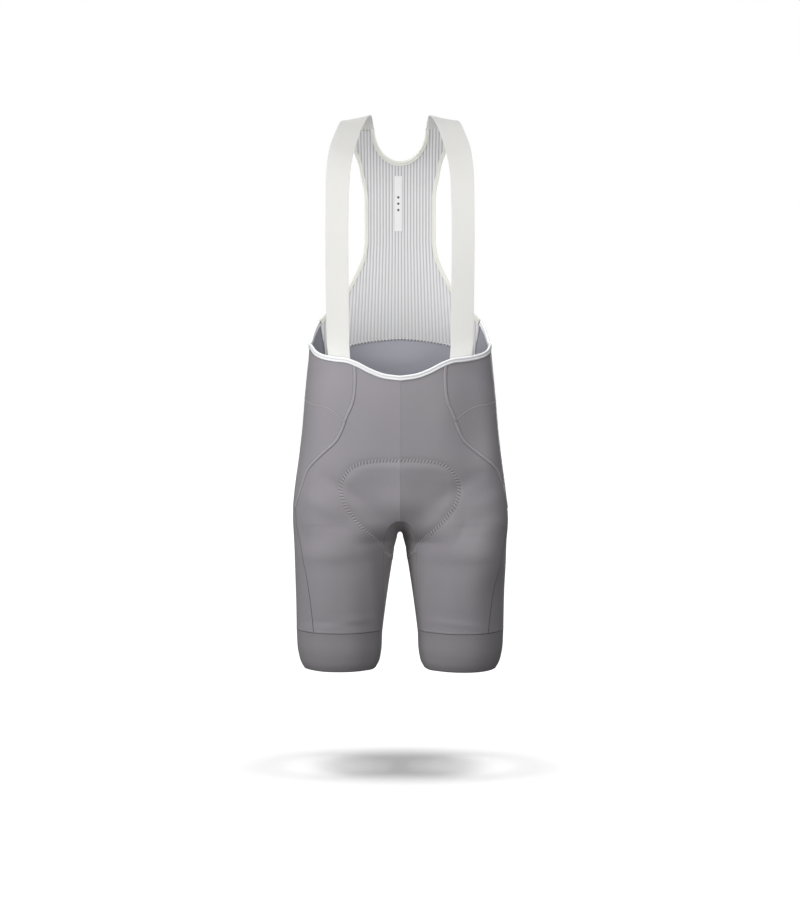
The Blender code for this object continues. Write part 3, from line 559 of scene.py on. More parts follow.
class Patchwork:
    """Four-sided meshes of the outer face, gathered by the piece that they are cut from."""

    def __init__(self):
        self.corners, self.names = [], []

    def add(self, name, grid, turned=False):
        """Add a grid of corners: x, y, z, height, and two distances along the cloth."""
        ring = [grid[:-1, :-1], grid[1:, :-1], grid[1:, 1:], grid[:-1, 1:]]
        quads = np.stack(ring[::-1] if turned else ring, axis=2).reshape(-1, 4, 6)
        self.corners.append(quads)
        self.names += [name] * len(quads)

    def join(self):
        """Merge the corners that meet and work out their outward directions."""
        corners = np.concatenate(self.corners)
        keys = np.round(corners[..., :3].reshape(-1, 3), 2) + 0.0
        _, found = np.unique(keys, axis=0, return_inverse=True)
        found = found.reshape(-1)
        count = np.bincount(found)
        flat = corners.reshape(-1, 6)
        mean = [np.bincount(found, flat[:, axis]) / count for axis in range(4)]
        points, height = np.stack(mean[:3], -1), mean[3]
        quads = found.reshape(-1, 4)
        # Where two columns run together a mesh has one corner twice, and is left out.
        whole = (np.diff(np.sort(quads, axis=1), axis=1) > 0).all(axis=1)
        quads = quads[whole]
        self.quads, self.names = quads, np.array(self.names)[whole]
        self.uv = corners[whole][..., 4:]
        self.points = points + outward(points, quads) * height[:, None]
        self.normals = outward(self.points, quads)
        self.index = {tuple(key): i for key, i in zip(keys.tolist(), found)}

    def at(self, place):
        """The number of the corner at a place on the measured body."""
        return self.index[tuple((np.round(place, 2) + 0.0).tolist())]


def outward(points, quads):
    """The mean direction of the meshes round each corner."""
    ring = points[quads]
    area = np.cross(ring[:, 2] - ring[:, 0], ring[:, 3] - ring[:, 1])
    total = np.zeros_like(points)
    for corner in range(4):
        np.add.at(total, quads[:, corner], area)
    return unit(total)


def side_grid(side):
    """All corners of one side as one grid: place, height, distances along the cloth."""
    place = surface(grid_turn, grid_drop) * (side, 1, 1)
    more = np.stack([reliefs[side], side * grid_turn * UV_TURN, grid_drop], -1)
    return np.concatenate([place, more], -1)


def cut(grid, top, bottom, front, back):
    """The patch between two levels and two seams."""
    return grid[row_of[top]:row_of[bottom] + 1, column_of[front]:column_of[back] + 1]


# %% The gusset's lines, from the front seam to the back seam
GUSSET_HALF = 55.0      # millimetres from its middle line to a seam, for the weave


def gusset_grid(side):
    """Corners of the cloth inside one leg, a line for each row below the arch's top."""
    below = rows >= CROTCH
    row, drop = rows[below], grid_drop[below, 0]
    front, back = surface(0, grid_drop[below, 0]), surface(180, grid_drop[below, -1])
    middle = np.stack([smooth(SECTIONS, drop, INNER), 0 * drop, -drop], -1)
    angles = np.stack([inseam_angle(drop, FRONT_INSEAM), inseam_angle(drop, BACK_INSEAM)])
    arch = row < LEG
    rise = np.arccos(np.clip(1 - (row - CROTCH), -1, 1))
    leg_drop = ARCH_TOP + ARCH_DROP
    reach = smooth(SECTIONS, leg_drop, INNER)
    fall = (leg_drop - CROTCH_DROP) * (1 - np.cos(rise))
    arched = np.stack([reach * np.sin(rise), 0 * rise, -CROTCH_DROP - fall], -1)
    middle = np.where(arch[:, None], arched, middle)
    for end, column in enumerate((FRONT_INSEAM, BACK_INSEAM)):
        low = inseam_angle(leg_drop, column)
        bent = low + (math.radians(CROTCH_ANGLE) - low) * (1 - np.sin(rise))
        angles[end] = np.where(arch, bent, angles[end])
    lines, places = [], []
    power = 2 / LEG_POWER
    steps = np.arange(GUSSET_COUNT + 1) / GUSSET_COUNT
    for end, angle, shares in ((front, angles[0], steps[::-1]), (back, angles[1], steps[1:])):
        for share in shares:
            swing = angle * share
            forward = (np.sin(swing) / np.sin(angle)) ** power
            bulge = (1 - np.cos(swing) ** power) / (1 - np.cos(angle) ** power)
            weights = np.stack([bulge, forward, bulge], -1)
            lines.append(middle + (end - middle) * weights)
            places.append(share if end is back else -share)
    grid, places = np.stack(lines, 1), np.array(places)
    blend = (1 + places) / 2
    height = reliefs[side][below, 0][:, None] * (1 - blend)
    height = height + reliefs[side][below, -1][:, None] * blend
    held = np.abs(places) ** 2
    height = height * held + pad_height(PAD_FOOT + grid[..., 2]) * (1 - held)
    along = places[None, :] * GUSSET_HALF + 0 * height
    extra = np.stack([height, side * along, -grid[..., 2]], -1)
    return np.concatenate([grid * (side, 1, 1), extra], -1)


# %% Sew the patches into one surface
cloth = Patchwork()
for name, side in SIDE_NAMES.items():
    grid, flip = side_grid(side), side < 0
    gusset = gusset_grid(side)
    band = row_of[BAND] - row_of[CROTCH]
    cloth.add("front_" + name, cut(grid, WAIST, BAND, 0, 1), flip)
    cloth.add("side_yoke_" + name, cut(grid, WAIST, YOKE, 1, 2), flip)
    cloth.add("back_" + name, cut(grid, YOKE, HIP, 1, 2), flip)
    cloth.add("back_" + name, cut(grid, BIB, BAND, 2, 3), flip)
    cloth.add("leg_side_" + name, cut(grid, HIP, BAND, 1, 2), flip)
    cloth.add("hem_band_" + name, cut(grid, BAND, END, 0, 3), flip)
    cloth.add("inner_leg_gusset", gusset[:band + 1], not flip)
    cloth.add("hem_band_" + name, gusset[band:], not flip)
cloth.join()
print("sewn surface:", len(cloth.points), "corners,", len(cloth.quads), "meshes")

# %% [markdown]
# ## Node trees written as sums
#
# Materials and Geometry Nodes are both trees of nodes joined by wires. A small bench
# adds any node in one call, and a wire overloads the usual operators, so that a line
# such as `1 - mask * 0.3` adds its Math nodes by itself. Every finish and every
# stitch below is built with these two classes.

# %% A bench for nodes, and the wires between them
class Wire:
    """A value on its way through a tree. Sums written with it add Math nodes."""

    def __init__(self, bench, socket):
        self.bench, self.socket = bench, socket

    def _sum(self, operation, first, second=None):
        return self.bench.node("ShaderNodeMath", {"operation": operation}, [first, second])

    def __add__(self, other):
        return self._sum("ADD", self, other)

    def __sub__(self, other):
        return self._sum("SUBTRACT", self, other)

    def __rsub__(self, other):
        return self._sum("SUBTRACT", other, self)

    def __mul__(self, other):
        return self._sum("MULTIPLY", self, other)

    def __truediv__(self, other):
        return self._sum("DIVIDE", self, other)

    def __pow__(self, other):
        return self._sum("POWER", self, other)

    __radd__, __rmul__ = __add__, __mul__

    def sine(self):
        return self._sum("SINE", self)

    def waves(self, pitch=1.0):
        """Even waves between 0 and 1, a pitch apart."""
        return (self * (math.tau / pitch)).sine() * 0.5 + 0.5

    def size(self):
        return self._sum("ABSOLUTE", self)

    def part(self):
        """What is left past the whole number."""
        return self._sum("FRACT", self)

    def over(self, limit):
        """1 where the value is greater than a limit, and 0 elsewhere."""
        return self._sum("GREATER_THAN", self, limit)

    def output(self, name):
        """Another output of the same node."""
        return Wire(self.bench, self.socket.node.outputs[name])


class Bench:
    """A tree being built."""

    def __init__(self, tree):
        self.tree = tree

    def node(self, kind, settings=None, inputs=None, output=0):
        """Add a node: its settings first, then the values or wires of its sockets."""
        made = self.tree.nodes.new(kind)
        for key, value in (settings or {}).items():
            setattr(made, key, value)
        pairs = inputs.items() if isinstance(inputs, dict) else enumerate(inputs or ())
        for key, value in pairs:
            if isinstance(value, Wire):
                self.tree.links.new(value.socket, made.inputs[key])
            elif value is not None:
                made.inputs[key].default_value = value
        return Wire(self, made.outputs[output])


class Finish(Bench):
    """A material being built on its Principled shader."""

    def __init__(self, name, roughness, constants):
        self.material = bpy.data.materials.new(name)
        self.material.use_nodes = True
        super().__init__(self.material.node_tree)
        self.shader = self.tree.nodes["Principled BSDF"]
        self.shader.inputs["Roughness"].default_value = roughness
        for key, value in constants.items():
            self.shader.inputs[key].default_value = value

    def feed(self, socket, wire):
        self.tree.links.new(wire.socket, self.shader.inputs[socket])

    def place(self):
        """Place on the object itself, in metres."""
        return self.node("ShaderNodeTexCoord", output="Object")

    def noise(self, vector, scale, detail):
        values = {"Vector": vector, "Scale": scale, "Detail": detail}
        return self.node("ShaderNodeTexNoise", {"noise_dimensions": "3D"}, values, output="Fac")

    def mix(self, share, first, second):
        """Mix two colours, each a wire or red, green and blue."""
        shades = [shade if isinstance(shade, Wire) else (*shade, 1) for shade in (first, second)]
        return self.node("ShaderNodeMix", {"data_type": "RGBA"},
                         {0: share, 6: shades[0], 7: shades[1]}, output=2)

    def across_and_along(self):
        """Distances across and along the cloth, in millimetres."""
        place = self.node("ShaderNodeUVMap", {"uv_map": "cloth"})
        split = self.node("ShaderNodeSeparateXYZ", None, [place])
        return split, split.output("Y")

    def raise_by(self, height, distance, strength):
        """Let a height between 0 and 1 bend the light. The distance is in millimetres."""
        bump = self.node("ShaderNodeBump", None, {
            "Strength": strength, "Distance": distance * MM, "Height": height})
        self.feed("Normal", bump)


# %% [markdown]
# ## Finishes of the cloth
#
# The grey cloth is a warp knit: columns of tiny slanted loops, less than a millimetre
# wide, with a soft sheen where it turns away. It is coloured by three things at once:
# a very faint blotching from the dye, painted shade between the loops, and a slightly
# lighter back face. The leg bands are the same yarn knitted firmer and darker. The
# gusset is a little paler, because it lies in the shade between the legs.

# %% Warp knit
LOOP_WIDE, LOOP_LONG = 0.75, 0.6        # millimetres
BAND_LOOP_WIDE, BAND_LOOP_LONG = 1.1, 0.8
LOOP_LEAN = 1.4                         # rows of loops that a column leans over
BLOTCHES, FLUFF = 9.0, 160.0            # how many to a metre
KNIT_LOOP_SHADE = 0.86                        # painted shade between the loops, as a share of the colour
GREY = (0.253, 0.241, 0.268)
GREY_WARM = (0.255, 0.238, 0.250)
GREY_INSIDE = (0.262, 0.262, 0.302)
BAND_GREY = (0.217, 0.206, 0.220)
GUSSET_GREY = (0.292, 0.275, 0.286)
SOFT_SHEEN = {"Sheen Weight": 0.12, "Sheen Roughness": 0.5, "Specular IOR Level": 0.28}


def shaded(colour, share):
    return [min(1, value * share) for value in colour]


def knit_height(finish, wide, long):
    """Columns of slanted loops, each column leaning the other way from its neighbour."""
    across, along = finish.across_and_along()
    lean = (across / (2 * wide)).part() * 2 - 1
    loops = (along / long + lean.size() * LOOP_LEAN).waves()
    rib = 1 - (lean.size() * 2 - 1) ** 2.0
    return loops * 0.6 + rib * 0.4


def make_knit(name, colour, warmer, wide=LOOP_WIDE, long=LOOP_LONG, roughness=0.55):
    """A stretch knit of one colour that drifts a little to another."""
    finish = Finish(name, roughness, SOFT_SHEEN)
    place = finish.place()
    drift = finish.noise(place, BLOTCHES, 3.0)
    fine = finish.noise(place, FLUFF, 2.0)
    height = knit_height(finish, wide, long)
    shade = finish.mix(drift, colour, warmer)
    # Darker where the loops sink: painted shade between them, plus random fluff
    shade = finish.mix((1 - height) * 0.16 + fine * 0.10, shade, shaded(colour, KNIT_LOOP_SHADE))
    finish.feed("Base Color", shade)
    finish.raise_by(height * 0.8 + fine * 0.2, 0.10, 0.5)
    return finish.material


knit = make_knit("grey_knit", GREY, GREY_WARM)
knit_inside = make_knit("grey_knit_inside", GREY_INSIDE, GREY_INSIDE, LOOP_LONG, LOOP_WIDE)
gusset_knit = make_knit("gusset_knit", GUSSET_GREY, GUSSET_GREY)
band_knit = make_knit("band_knit", BAND_GREY, BAND_GREY, BAND_LOOP_WIDE, BAND_LOOP_LONG, 0.6)
print("knits:", knit.name, knit_inside.name, gusset_knit.name, band_knit.name)

# %% [markdown]
# ## From a patch to a wall of cloth
#
# A patch is only a skin. The cloth gets its thickness by repeating the skin on the
# inside and closing the rim between both. Blender's Solidify could do that, but along
# a curved seam it would push neighbouring pieces into each other. Here both faces use
# the directions of the whole garment, so the edges of two pieces stay side by side.

# %% Walls
LIP_REACH = 0.45        # how far a rounded rim bulges, in thicknesses
SHARP = 50.0            # degrees between two faces that meet in an edge


def rim_of(quads, count):
    """Edges that only one mesh uses, each in that mesh's direction."""
    starts = np.concatenate([quads[:, corner] for corner in range(4)])
    ends = np.concatenate([quads[:, (corner + 1) % 4] for corner in range(4)])
    alone = ~np.isin(starts * count + ends, ends * count + starts)
    return starts[alone], ends[alone]


def new_piece(name, points, faces, uv, materials, sharp):
    """A mesh object at the origin, from millimetres."""
    mesh = bpy.data.meshes.new(name)
    mesh.from_pydata((np.asarray(points) * MM).tolist(), [], faces)
    layer = mesh.uv_layers.new(name="cloth")
    layer.data.foreach_set("uv", np.asarray(uv, np.float32).reshape(-1))
    for material in materials:
        mesh.materials.append(material)
    mesh.shade_smooth()
    mesh.set_sharp_from_angle(angle=math.radians(sharp))
    return add_object(name, mesh)


def make_wall(name, points, normals, quads, uv, materials, thickness=WALL, lip=None):
    """Both faces of a patch and the rim between them. A lip rounds the rim it names."""
    used, local = np.unique(quads, return_inverse=True)
    local, count = local.reshape(quads.shape), len(used)
    outer = points[used]
    inner = outer - normals[used] * thickness
    starts, ends = rim_of(local, count)
    places = np.zeros((count, 2))
    places[local.reshape(-1)] = uv.reshape(-1, 2)
    beyond = np.zeros_like(outer)
    along = outer[ends] - outer[starts]
    for corner in (starts, ends):
        np.add.at(beyond, corner, unit(np.cross(along, normals[used][corner])))
    rounded = lip(outer) if lip else np.zeros(count)
    middle = (outer + inner) / 2 + unit(beyond) * (rounded * thickness * LIP_REACH)[:, None]
    rim = np.unique(np.concatenate([starts, ends]))
    half_way = np.zeros(count, int)
    half_way[rim] = 2 * count + np.arange(len(rim))
    faces = local.tolist() + (local[:, ::-1] + count).tolist()
    loops = [uv.reshape(-1, 2), uv[:, ::-1].reshape(-1, 2)]
    for a, b in zip(starts.tolist(), ends.tolist()):
        faces.append([b, a, int(half_way[a]), int(half_way[b])])
        faces.append([int(half_way[b]), int(half_way[a]), a + count, b + count])
        loops.append(places[[b, a, a, b, b, a, a, b]])
    piece = new_piece(name, np.concatenate([outer, inner, middle[rim]]), faces,
                      np.concatenate(loops), materials, SHARP)
    inside = np.zeros(len(faces), np.int32)
    inside[len(local):2 * len(local)] = len(materials) - 1
    piece.data.polygons.foreach_set("material_index", inside)
    return piece


def patch_of(name):
    chosen = cloth.names == name
    return cloth.quads[chosen], cloth.uv[chosen]


# %% [markdown]
# ## The panels
#
# Two fronts, two side yokes, two backs, two outer leg panels, the gusset and the two
# leg bands. The bands end in a rounded hem. Every other edge is hidden in a seam or in
# the binding of the waist.

# %% Panels, gusset and leg bands
HEM_ROUNDED = 934.0


def hem_lip(points):
    """1 along the hem, where the band's edge is folded and rounded, and 0 elsewhere."""
    return (points[:, 2] < -HEM_ROUNDED).astype(float)


pieces = {}
for name in dict.fromkeys(cloth.names.tolist()):
    outside = gusset_knit if name == "inner_leg_gusset" else knit
    outside = band_knit if name.startswith("hem") else outside
    quads, uv = patch_of(name)
    pieces[name] = make_wall(name + "_cloth", cloth.points, cloth.normals, quads, uv,
                             [outside, knit_inside], lip=hem_lip)
print({name: len(piece.data.polygons) for name, piece in pieces.items()})

# %% [markdown]
# ## Laying things on the cloth
#
# Seam tapes and stitches lie on the finished cloth, folds and all. A search tree of
# its meshes finds the nearest point for any place, and the directions at the corners
# of that mesh are blended for a smooth outward direction.

# %% A seat on the cloth for any place
NEAR = 0.05             # millimetres added to the distance of a corner before it is weighed


class Ground:
    """A surface that things are laid on."""

    def __init__(self, points, normals, quads):
        self.points, self.normals = points, normals
        self.faces = np.concatenate([quads[:, [0, 1, 2]], quads[:, [0, 2, 3]]])
        self.tree = BVHTree.FromPolygons(points.tolist(), self.faces.tolist())

    def seat(self, places):
        """The nearest points of the surface, and the outward directions there."""
        seats, outwards = [], []
        for place in np.asarray(places, float).reshape(-1, 3):
            near, _, face, _ = self.tree.find_nearest(Vector(place))
            corners = self.faces[face]
            gaps = np.linalg.norm(self.points[corners] - np.array(near), axis=1)
            weights = 1 / (gaps + NEAR)
            seats.append(np.array(near))
            outwards.append(weights @ self.normals[corners])
        return np.array(seats), unit(outwards)


ground = Ground(cloth.points, cloth.normals, cloth.quads)
grids = {side: side_grid(side) for side in SIDES}


def line_through(places):
    """A line through places of the measured body, laid on the cloth, and the outward
    directions along it."""
    numbers = [cloth.at(place) for place in places]
    return cloth.points[numbers], cloth.normals[numbers]


def down_seam(side, top, bottom, seam):
    """A line down a column of the net."""
    return line_through(grids[side][row_of[top]:row_of[bottom] + 1, column_of[seam], :3])


def across_seam(side, level, front, back):
    """A line along a row of the net."""
    return line_through(grids[side][row_of[level], column_of[front]:column_of[back] + 1, :3])


def gusset_line_at(side, drop):
    """A line across the cloth inside a leg, from its front seam to its back seam."""
    grid = gusset_grid(side)
    row = int(np.argmin(abs(-grid[:, 0, 2] - drop)))
    return line_through(grid[row, :, :3])


def moved(line, across=0.0, up=0.0):
    """The same line, a distance to its left and above the cloth."""
    points, outwards = line
    along = unit(np.gradient(points, axis=0))
    points = points + unit(np.cross(outwards, along)) * across
    if across:
        points, outwards = ground.seat(points)
    return points + outwards * up, outwards


def evenly(line, step):
    """The same line with corners a step apart."""
    points, outwards = line
    travel = travel_along(points)
    places = np.linspace(0, travel[-1], max(2, int(travel[-1] / step) + 1))
    spread = [np.interp(places, travel, values) for values in (*points.T, *outwards.T)]
    return np.stack(spread[:3], -1), unit(np.stack(spread[3:], -1))


print("ground ready:", len(ground.faces), "triangles")

# %% [markdown]
# ## Seam tapes
#
# Cycling shorts are sewn flat: the two edges lie side by side under a ridge of thread
# and tape about five millimetres wide. A rounded strip is swept along each seam line.
# Its flanks catch the light on one side and stay dark on the other, which is what
# makes the seam readable from a step away.

# %% Sweeping a section along a line
STRIP_PROFILE = (       # share of the half width, share of the height
    (-1.0, -0.6), (-1.0, 0.05), (-0.86, 0.62), (-0.62, 0.95), (-0.3, 1.0), (-0.08, 0.86),
    (0.08, 0.86), (0.3, 1.0), (0.62, 0.95), (0.86, 0.62), (1.0, 0.05), (1.0, -0.6),
)
PLAIN_PROFILE = (
    (-1.0, -0.6), (-1.0, 0.1), (-0.6, 0.85), (0.0, 1.0), (0.6, 0.85), (1.0, 0.1),
    (1.0, -0.6),
)
STRIP_STEP = 2.5


def loft(name, runs, materials, sharp=SHARP):
    """Closed walls through runs of closed sections, with both ends of each run capped."""
    points, faces, uv = [], [], []
    for run in runs:
        run = np.asarray(run, float)
        steps, count = run.shape[:2]
        first = sum(len(block) for block in points)
        round_it = np.linalg.norm(np.diff(run[0], axis=0, append=run[0][:1]), axis=1)
        u = np.concatenate([[0], round_it.cumsum()])
        v = travel_along(run[:, 0])
        points.append(run.reshape(-1, 3))
        for i in range(steps - 1):
            low, high = first + i * count, first + (i + 1) * count
            for j in range(count):
                k = (j + 1) % count
                faces.append([low + j, low + k, high + k, high + j])
                uv += [(u[j], v[i]), (u[j + 1], v[i]), (u[j + 1], v[i + 1]), (u[j], v[i + 1])]
        for i, order in ((0, range(count - 1, -1, -1)), (steps - 1, range(count))):
            faces.append([first + i * count + j for j in order])
            uv += [(u[j], v[i]) for j in order]
    return turned_out(new_piece(name, np.concatenate(points), faces, uv, materials, sharp))


def turned_out(piece):
    """Turn all faces of a closed mesh outwards."""
    body = bmesh.new()
    body.from_mesh(piece.data)
    if body.calc_volume(signed=True) < 0:
        bmesh.ops.reverse_faces(body, faces=body.faces)
    body.to_mesh(piece.data)
    body.free()
    return piece


def strip_sections(line, half_width, height, profile):
    """Sections of a strip that lies along a line on the cloth."""
    points, outwards = evenly(line, STRIP_STEP)
    along = unit(np.gradient(points, axis=0))
    across = unit(np.cross(outwards, along))
    sections = []
    for share, lift in profile:
        feet, _ = ground.seat(points + across * share * half_width)
        sections.append(feet + outwards * (lift * height))
    return np.stack(sections, 1)


# %% [markdown]
# ## Stitches
#
# A stitch is a short bar of thread, and a seam has hundreds of them, evenly spaced and
# turned with the line. That is work for Geometry Nodes: the line becomes a curve, the
# curve is cut into even steps, and a bar is put on every step, turned along the line
# and up from the cloth. Every second bar may lean the other way and be another
# thread, so one tree sews straight rows, cross stitches and zigzags.

# %% A tree that sews
def add_sockets(tree, sockets):
    """Name the tree's inputs, and its geometry output."""
    for name, kind in sockets:
        tree.interface.new_socket(name, in_out="INPUT", socket_type="NodeSocket" + kind)
    tree.interface.new_socket("Geometry", in_out="OUTPUT", socket_type="NodeSocketGeometry")
    bench = Bench(tree)
    entry = tree.nodes.new("NodeGroupInput")
    return bench, {name: Wire(bench, entry.outputs[name]) for name, _ in sockets}


def close_tree(bench, result):
    exit_node = bench.tree.nodes.new("NodeGroupOutput")
    bench.tree.links.new(result.socket, exit_node.inputs["Geometry"])
    return bench.tree


def make_stitch_tree():
    """Bars of thread along a line whose corners know which way is outward."""
    tree = bpy.data.node_groups.new("stitches", "GeometryNodeTree")
    bench, given = add_sockets(tree, [
        ("Geometry", "Geometry"), ("Pitch", "Float"), ("Length", "Float"), ("Width", "Float"),
        ("Height", "Float"), ("Lean", "Float"), ("Other Lean", "Float"),
        ("Thread", "Material"), ("Other Thread", "Material")])
    curve = bench.node("GeometryNodeMeshToCurve", None, {"Mesh": given["Geometry"]})
    curve = bench.node("GeometryNodeResampleCurve", {"mode": "LENGTH"},
                       {"Curve": curve, "Length": given["Pitch"]})
    up = bench.node("GeometryNodeInputNamedAttribute", {"data_type": "FLOAT_VECTOR"},
                    {"Name": "outward"}, output="Attribute")
    tangent = bench.node("GeometryNodeInputTangent")
    turn = bench.node("FunctionNodeAlignRotationToVector", {"axis": "Z"}, {"Vector": up})
    turn = bench.node("FunctionNodeAlignRotationToVector", {"axis": "X", "pivot_axis": "Z"},
                      {"Rotation": turn, "Vector": tangent})
    second = (bench.node("GeometryNodeInputIndex") / 2).part().over(0.25)
    size = bench.node("ShaderNodeCombineXYZ", None,
                      [given["Length"], given["Width"], given["Height"]])
    ball = bench.node("GeometryNodeMeshUVSphere", None,
                      {"Segments": 8, "Rings": 4, "Radius": 0.5}, output="Mesh")
    bar = bench.node("GeometryNodeTransform", None, {"Geometry": ball, "Scale": size})
    bar = bench.node("GeometryNodeSetShadeSmooth", None, {"Geometry": bar})
    rows = []
    for lean, thread, chosen in ((given["Lean"], given["Thread"], 1 - second),
                                 (given["Other Lean"], given["Other Thread"], second)):
        leaning = bench.node("FunctionNodeAxisAngleToRotation", None,
                             {"Axis": (0, 0, 1), "Angle": lean})
        turned = bench.node("FunctionNodeRotateRotation", {"rotation_space": "LOCAL"},
                            {"Rotation": turn, "Rotate By": leaning})
        row = bench.node("GeometryNodeInstanceOnPoints", None, {
            "Points": curve, "Selection": chosen, "Instance": bar, "Rotation": turned})
        row = bench.node("GeometryNodeRealizeInstances", None, {"Geometry": row})
        rows.append(bench.node("GeometryNodeSetMaterial", None,
                               {"Geometry": row, "Material": thread}))
    joined = bench.node("GeometryNodeJoinGeometry")
    for row in reversed(rows):
        tree.links.new(row.socket, joined.socket.node.inputs[0])
    return close_tree(bench, joined)


def grown(name, seed, tree, values):
    """Run a tree on a mesh and keep its result as a plain piece."""
    modifier = seed.modifiers.new("grow", "NODES")
    modifier.node_group = tree
    for socket in tree.interface.items_tree:
        if socket.in_out == "INPUT" and socket.name in values:
            modifier[socket.identifier] = values[socket.name]
    graph = bpy.context.evaluated_depsgraph_get()
    mesh = bpy.data.meshes.new_from_object(seed.evaluated_get(graph), depsgraph=graph)
    mesh.name = name
    seed.modifiers.clear()
    bpy.data.objects.remove(seed, do_unlink=True)
    return add_object(name, mesh)


def line_mesh(lines, up):
    """Lines as edges of a mesh that also keeps their outward directions."""
    points, edges, outwards = [], [], []
    for line in lines:
        first = len(points)
        points += ((line[0] + line[1] * up) * MM).tolist()
        outwards += line[1].tolist()
        edges += [(i, i + 1) for i in range(first, len(points) - 1)]
    mesh = bpy.data.meshes.new("line")
    mesh.from_pydata(points, edges, [])
    layer = mesh.attributes.new("outward", "FLOAT_VECTOR", "POINT")
    layer.data.foreach_set("vector", np.array(outwards, np.float32).reshape(-1))
    return add_object("line", mesh)


stitch_tree = make_stitch_tree()


def sew(name, lines, thread, pitch, length, width, height, lean=0.0, other_lean=None,
        other_thread=None, up=0.0):
    """Stitches along lines on the cloth. Sizes in millimetres, leans in degrees."""
    other = lean if other_lean is None else other_lean
    return grown(name, line_mesh(lines, up), stitch_tree, {
        "Pitch": pitch * MM, "Length": length * MM, "Width": width * MM,
        "Height": height * MM, "Lean": math.radians(lean), "Other Lean": math.radians(other),
        "Thread": thread, "Other Thread": other_thread or thread})


print("stitch tree:", len(stitch_tree.nodes), "nodes")

# %% [markdown]
# ## Threads and seam tape
#
# The seam tape is covered by thread of the cloth's colour laid side by side, so it is
# a slightly paler grey than the knit, with a twill of fine diagonal strands. Loose
# threads are glossier than the cloth.

# %% Finishes for sewing
TAPE_GREY = (0.315, 0.301, 0.327)
THREAD_GREY = (0.33, 0.316, 0.335)
TAPE_PALE = (0.35, 0.325, 0.335)
TAPE_CENTRE = (0.268, 0.256, 0.281)
THREAD_PALE = (0.37, 0.35, 0.365)
# Painted shade: dark grey laid as thread where a step, a dip or a turned stitch lies in shade
PAINTED_SHADE_THREAD = (0.165, 0.157, 0.168)
THREAD_CREAM = (0.50, 0.47, 0.365)
THREAD_DARK = (0.085, 0.080, 0.084)
THREAD_WHITE = (0.80, 0.80, 0.79)
TWILL_PITCH, TWILL_SLANT = 0.9, 0.8
TWILL_PAINTED_SHADE = 0.84       # painted shade between two strands, as a share
THREAD_FLUFF = 900.0    # how much to a metre
THREAD_SHADES = (0.82, 1.12)            # darkest and palest, as shares of its colour


def make_thread(name, colour):
    """A soft thread with a little fluff."""
    finish = Finish(name, 0.5, {"Sheen Weight": 0.2, "Specular IOR Level": 0.35})
    fluff = finish.noise(finish.place(), THREAD_FLUFF, 2.0)
    dark, pale = shaded(colour, THREAD_SHADES[0]), shaded(colour, THREAD_SHADES[1])
    finish.feed("Base Color", finish.mix(fluff, dark, pale))
    finish.raise_by(fluff, 0.08, 0.5)
    return finish.material


def make_seam_tape(name, colour):
    """Thread laid side by side over a seam, in slanted strands."""
    finish = Finish(name, 0.5, SOFT_SHEEN)
    across, along = finish.across_and_along()
    strands = (along + across * TWILL_SLANT).waves(TWILL_PITCH)
    # Darker between the strands: painted shade
    finish.feed("Base Color", finish.mix(strands, shaded(colour, TWILL_PAINTED_SHADE), colour))
    finish.raise_by(strands, 0.12, 0.6)
    return finish.material


seam_tape = make_seam_tape("seam_tape", TAPE_GREY)
pale_tape = make_seam_tape("pale_tape", TAPE_PALE)
centre_tape = make_seam_tape("centre_tape", TAPE_CENTRE)
thread_grey = make_thread("thread_grey", THREAD_GREY)
thread_dark = make_thread("thread_dark", THREAD_DARK)
thread_pale = make_thread("thread_pale", THREAD_PALE)
thread_shade = make_thread("thread_shade", PAINTED_SHADE_THREAD)
thread_white = make_thread("thread_white", THREAD_WHITE)
thread_cream = make_thread("thread_cream", THREAD_CREAM)

# %% [markdown]
# ## Sewing the panels
#
# The princess seams, the side seams and the seam under the ribbed back carry the full
# tape, with a line of painted shadow along both its edges in place of a step in the
# cloth. The yoke seam is a fine pale line under a line of painted shade, the centre
# seams are flat, and the gusset is set in with a line a little darker than the cloth,
# partly its seam and partly painted shade. Down the leg the outer panel is set in with a
# plain dark seam, and the bands hang from a dark line with a row of light stitches.

# %% Lines of both sides
TAPE_HALF, TAPE_HIGH = 2.7, 1.0
TAPE_STEP_SHADOW = 3.0         # from the middle of a tape to the painted shadow beside it, where the cloth would step
YOKE_SHADE_RISE = 1.3   # of the line of painted shade above the pale one
CENTRE_HALF, CENTRE_HIGH = 1.1, 0.10
PALE_HALF, PALE_HIGH = 0.9, 0.30
SHADE_HALF, SHADE_HIGH = 0.5, 0.12
DARK_HALF, DARK_HIGH = 0.75, 0.22


def lifted(line, distance):
    """The same line, a distance further up the body."""
    there = moved(line, distance)
    return there if there[0][:, 2].mean() > line[0][:, 2].mean() else moved(line, -distance)


broad = [down_seam(side, WAIST, HIP, 1) for side in SIDES]
broad += [down_seam(side, WAIST, YOKE, 2) for side in SIDES]
broad += [across_seam(side, BIB, 2, 3) for side in SIDES]
# Lines of painted shadow beside each broad tape, where the cloth would step
steps = [moved(line, shift) for line in broad for shift in (-TAPE_STEP_SHADOW, TAPE_STEP_SHADOW)]
centre = [down_seam(1, WAIST, CROTCH, 0), down_seam(1, BIB, CROTCH, 3)]
yokes = [across_seam(side, YOKE, 1, 2) for side in SIDES]
insets = [down_seam(side, CROTCH, BAND, seam) for side in SIDES for seam in (0, 3)]
dark = [down_seam(side, HIP, BAND, seam) for side in SIDES for seam in (1, 2)]
dark += [across_seam(side, HIP, 1, 2) for side in SIDES]


def band_ring(side, shift):
    """The line round a leg above or below the band's seam."""
    front = across_seam(side, BAND, 0, 3)
    inside = gusset_line_at(side, smooth(BAND_SEAM, 0.0))
    points = np.concatenate([front[0], inside[0][::-1][1:]])
    outwards = np.concatenate([front[1], inside[1][::-1][1:]])
    return moved((points, outwards), shift)


def strips(name, lines, half_width, height, material, profile=PLAIN_PROFILE):
    """One piece made of strips along lines on the cloth."""
    return loft(name, [strip_sections(line, half_width, height, profile) for line in lines],
                [material])
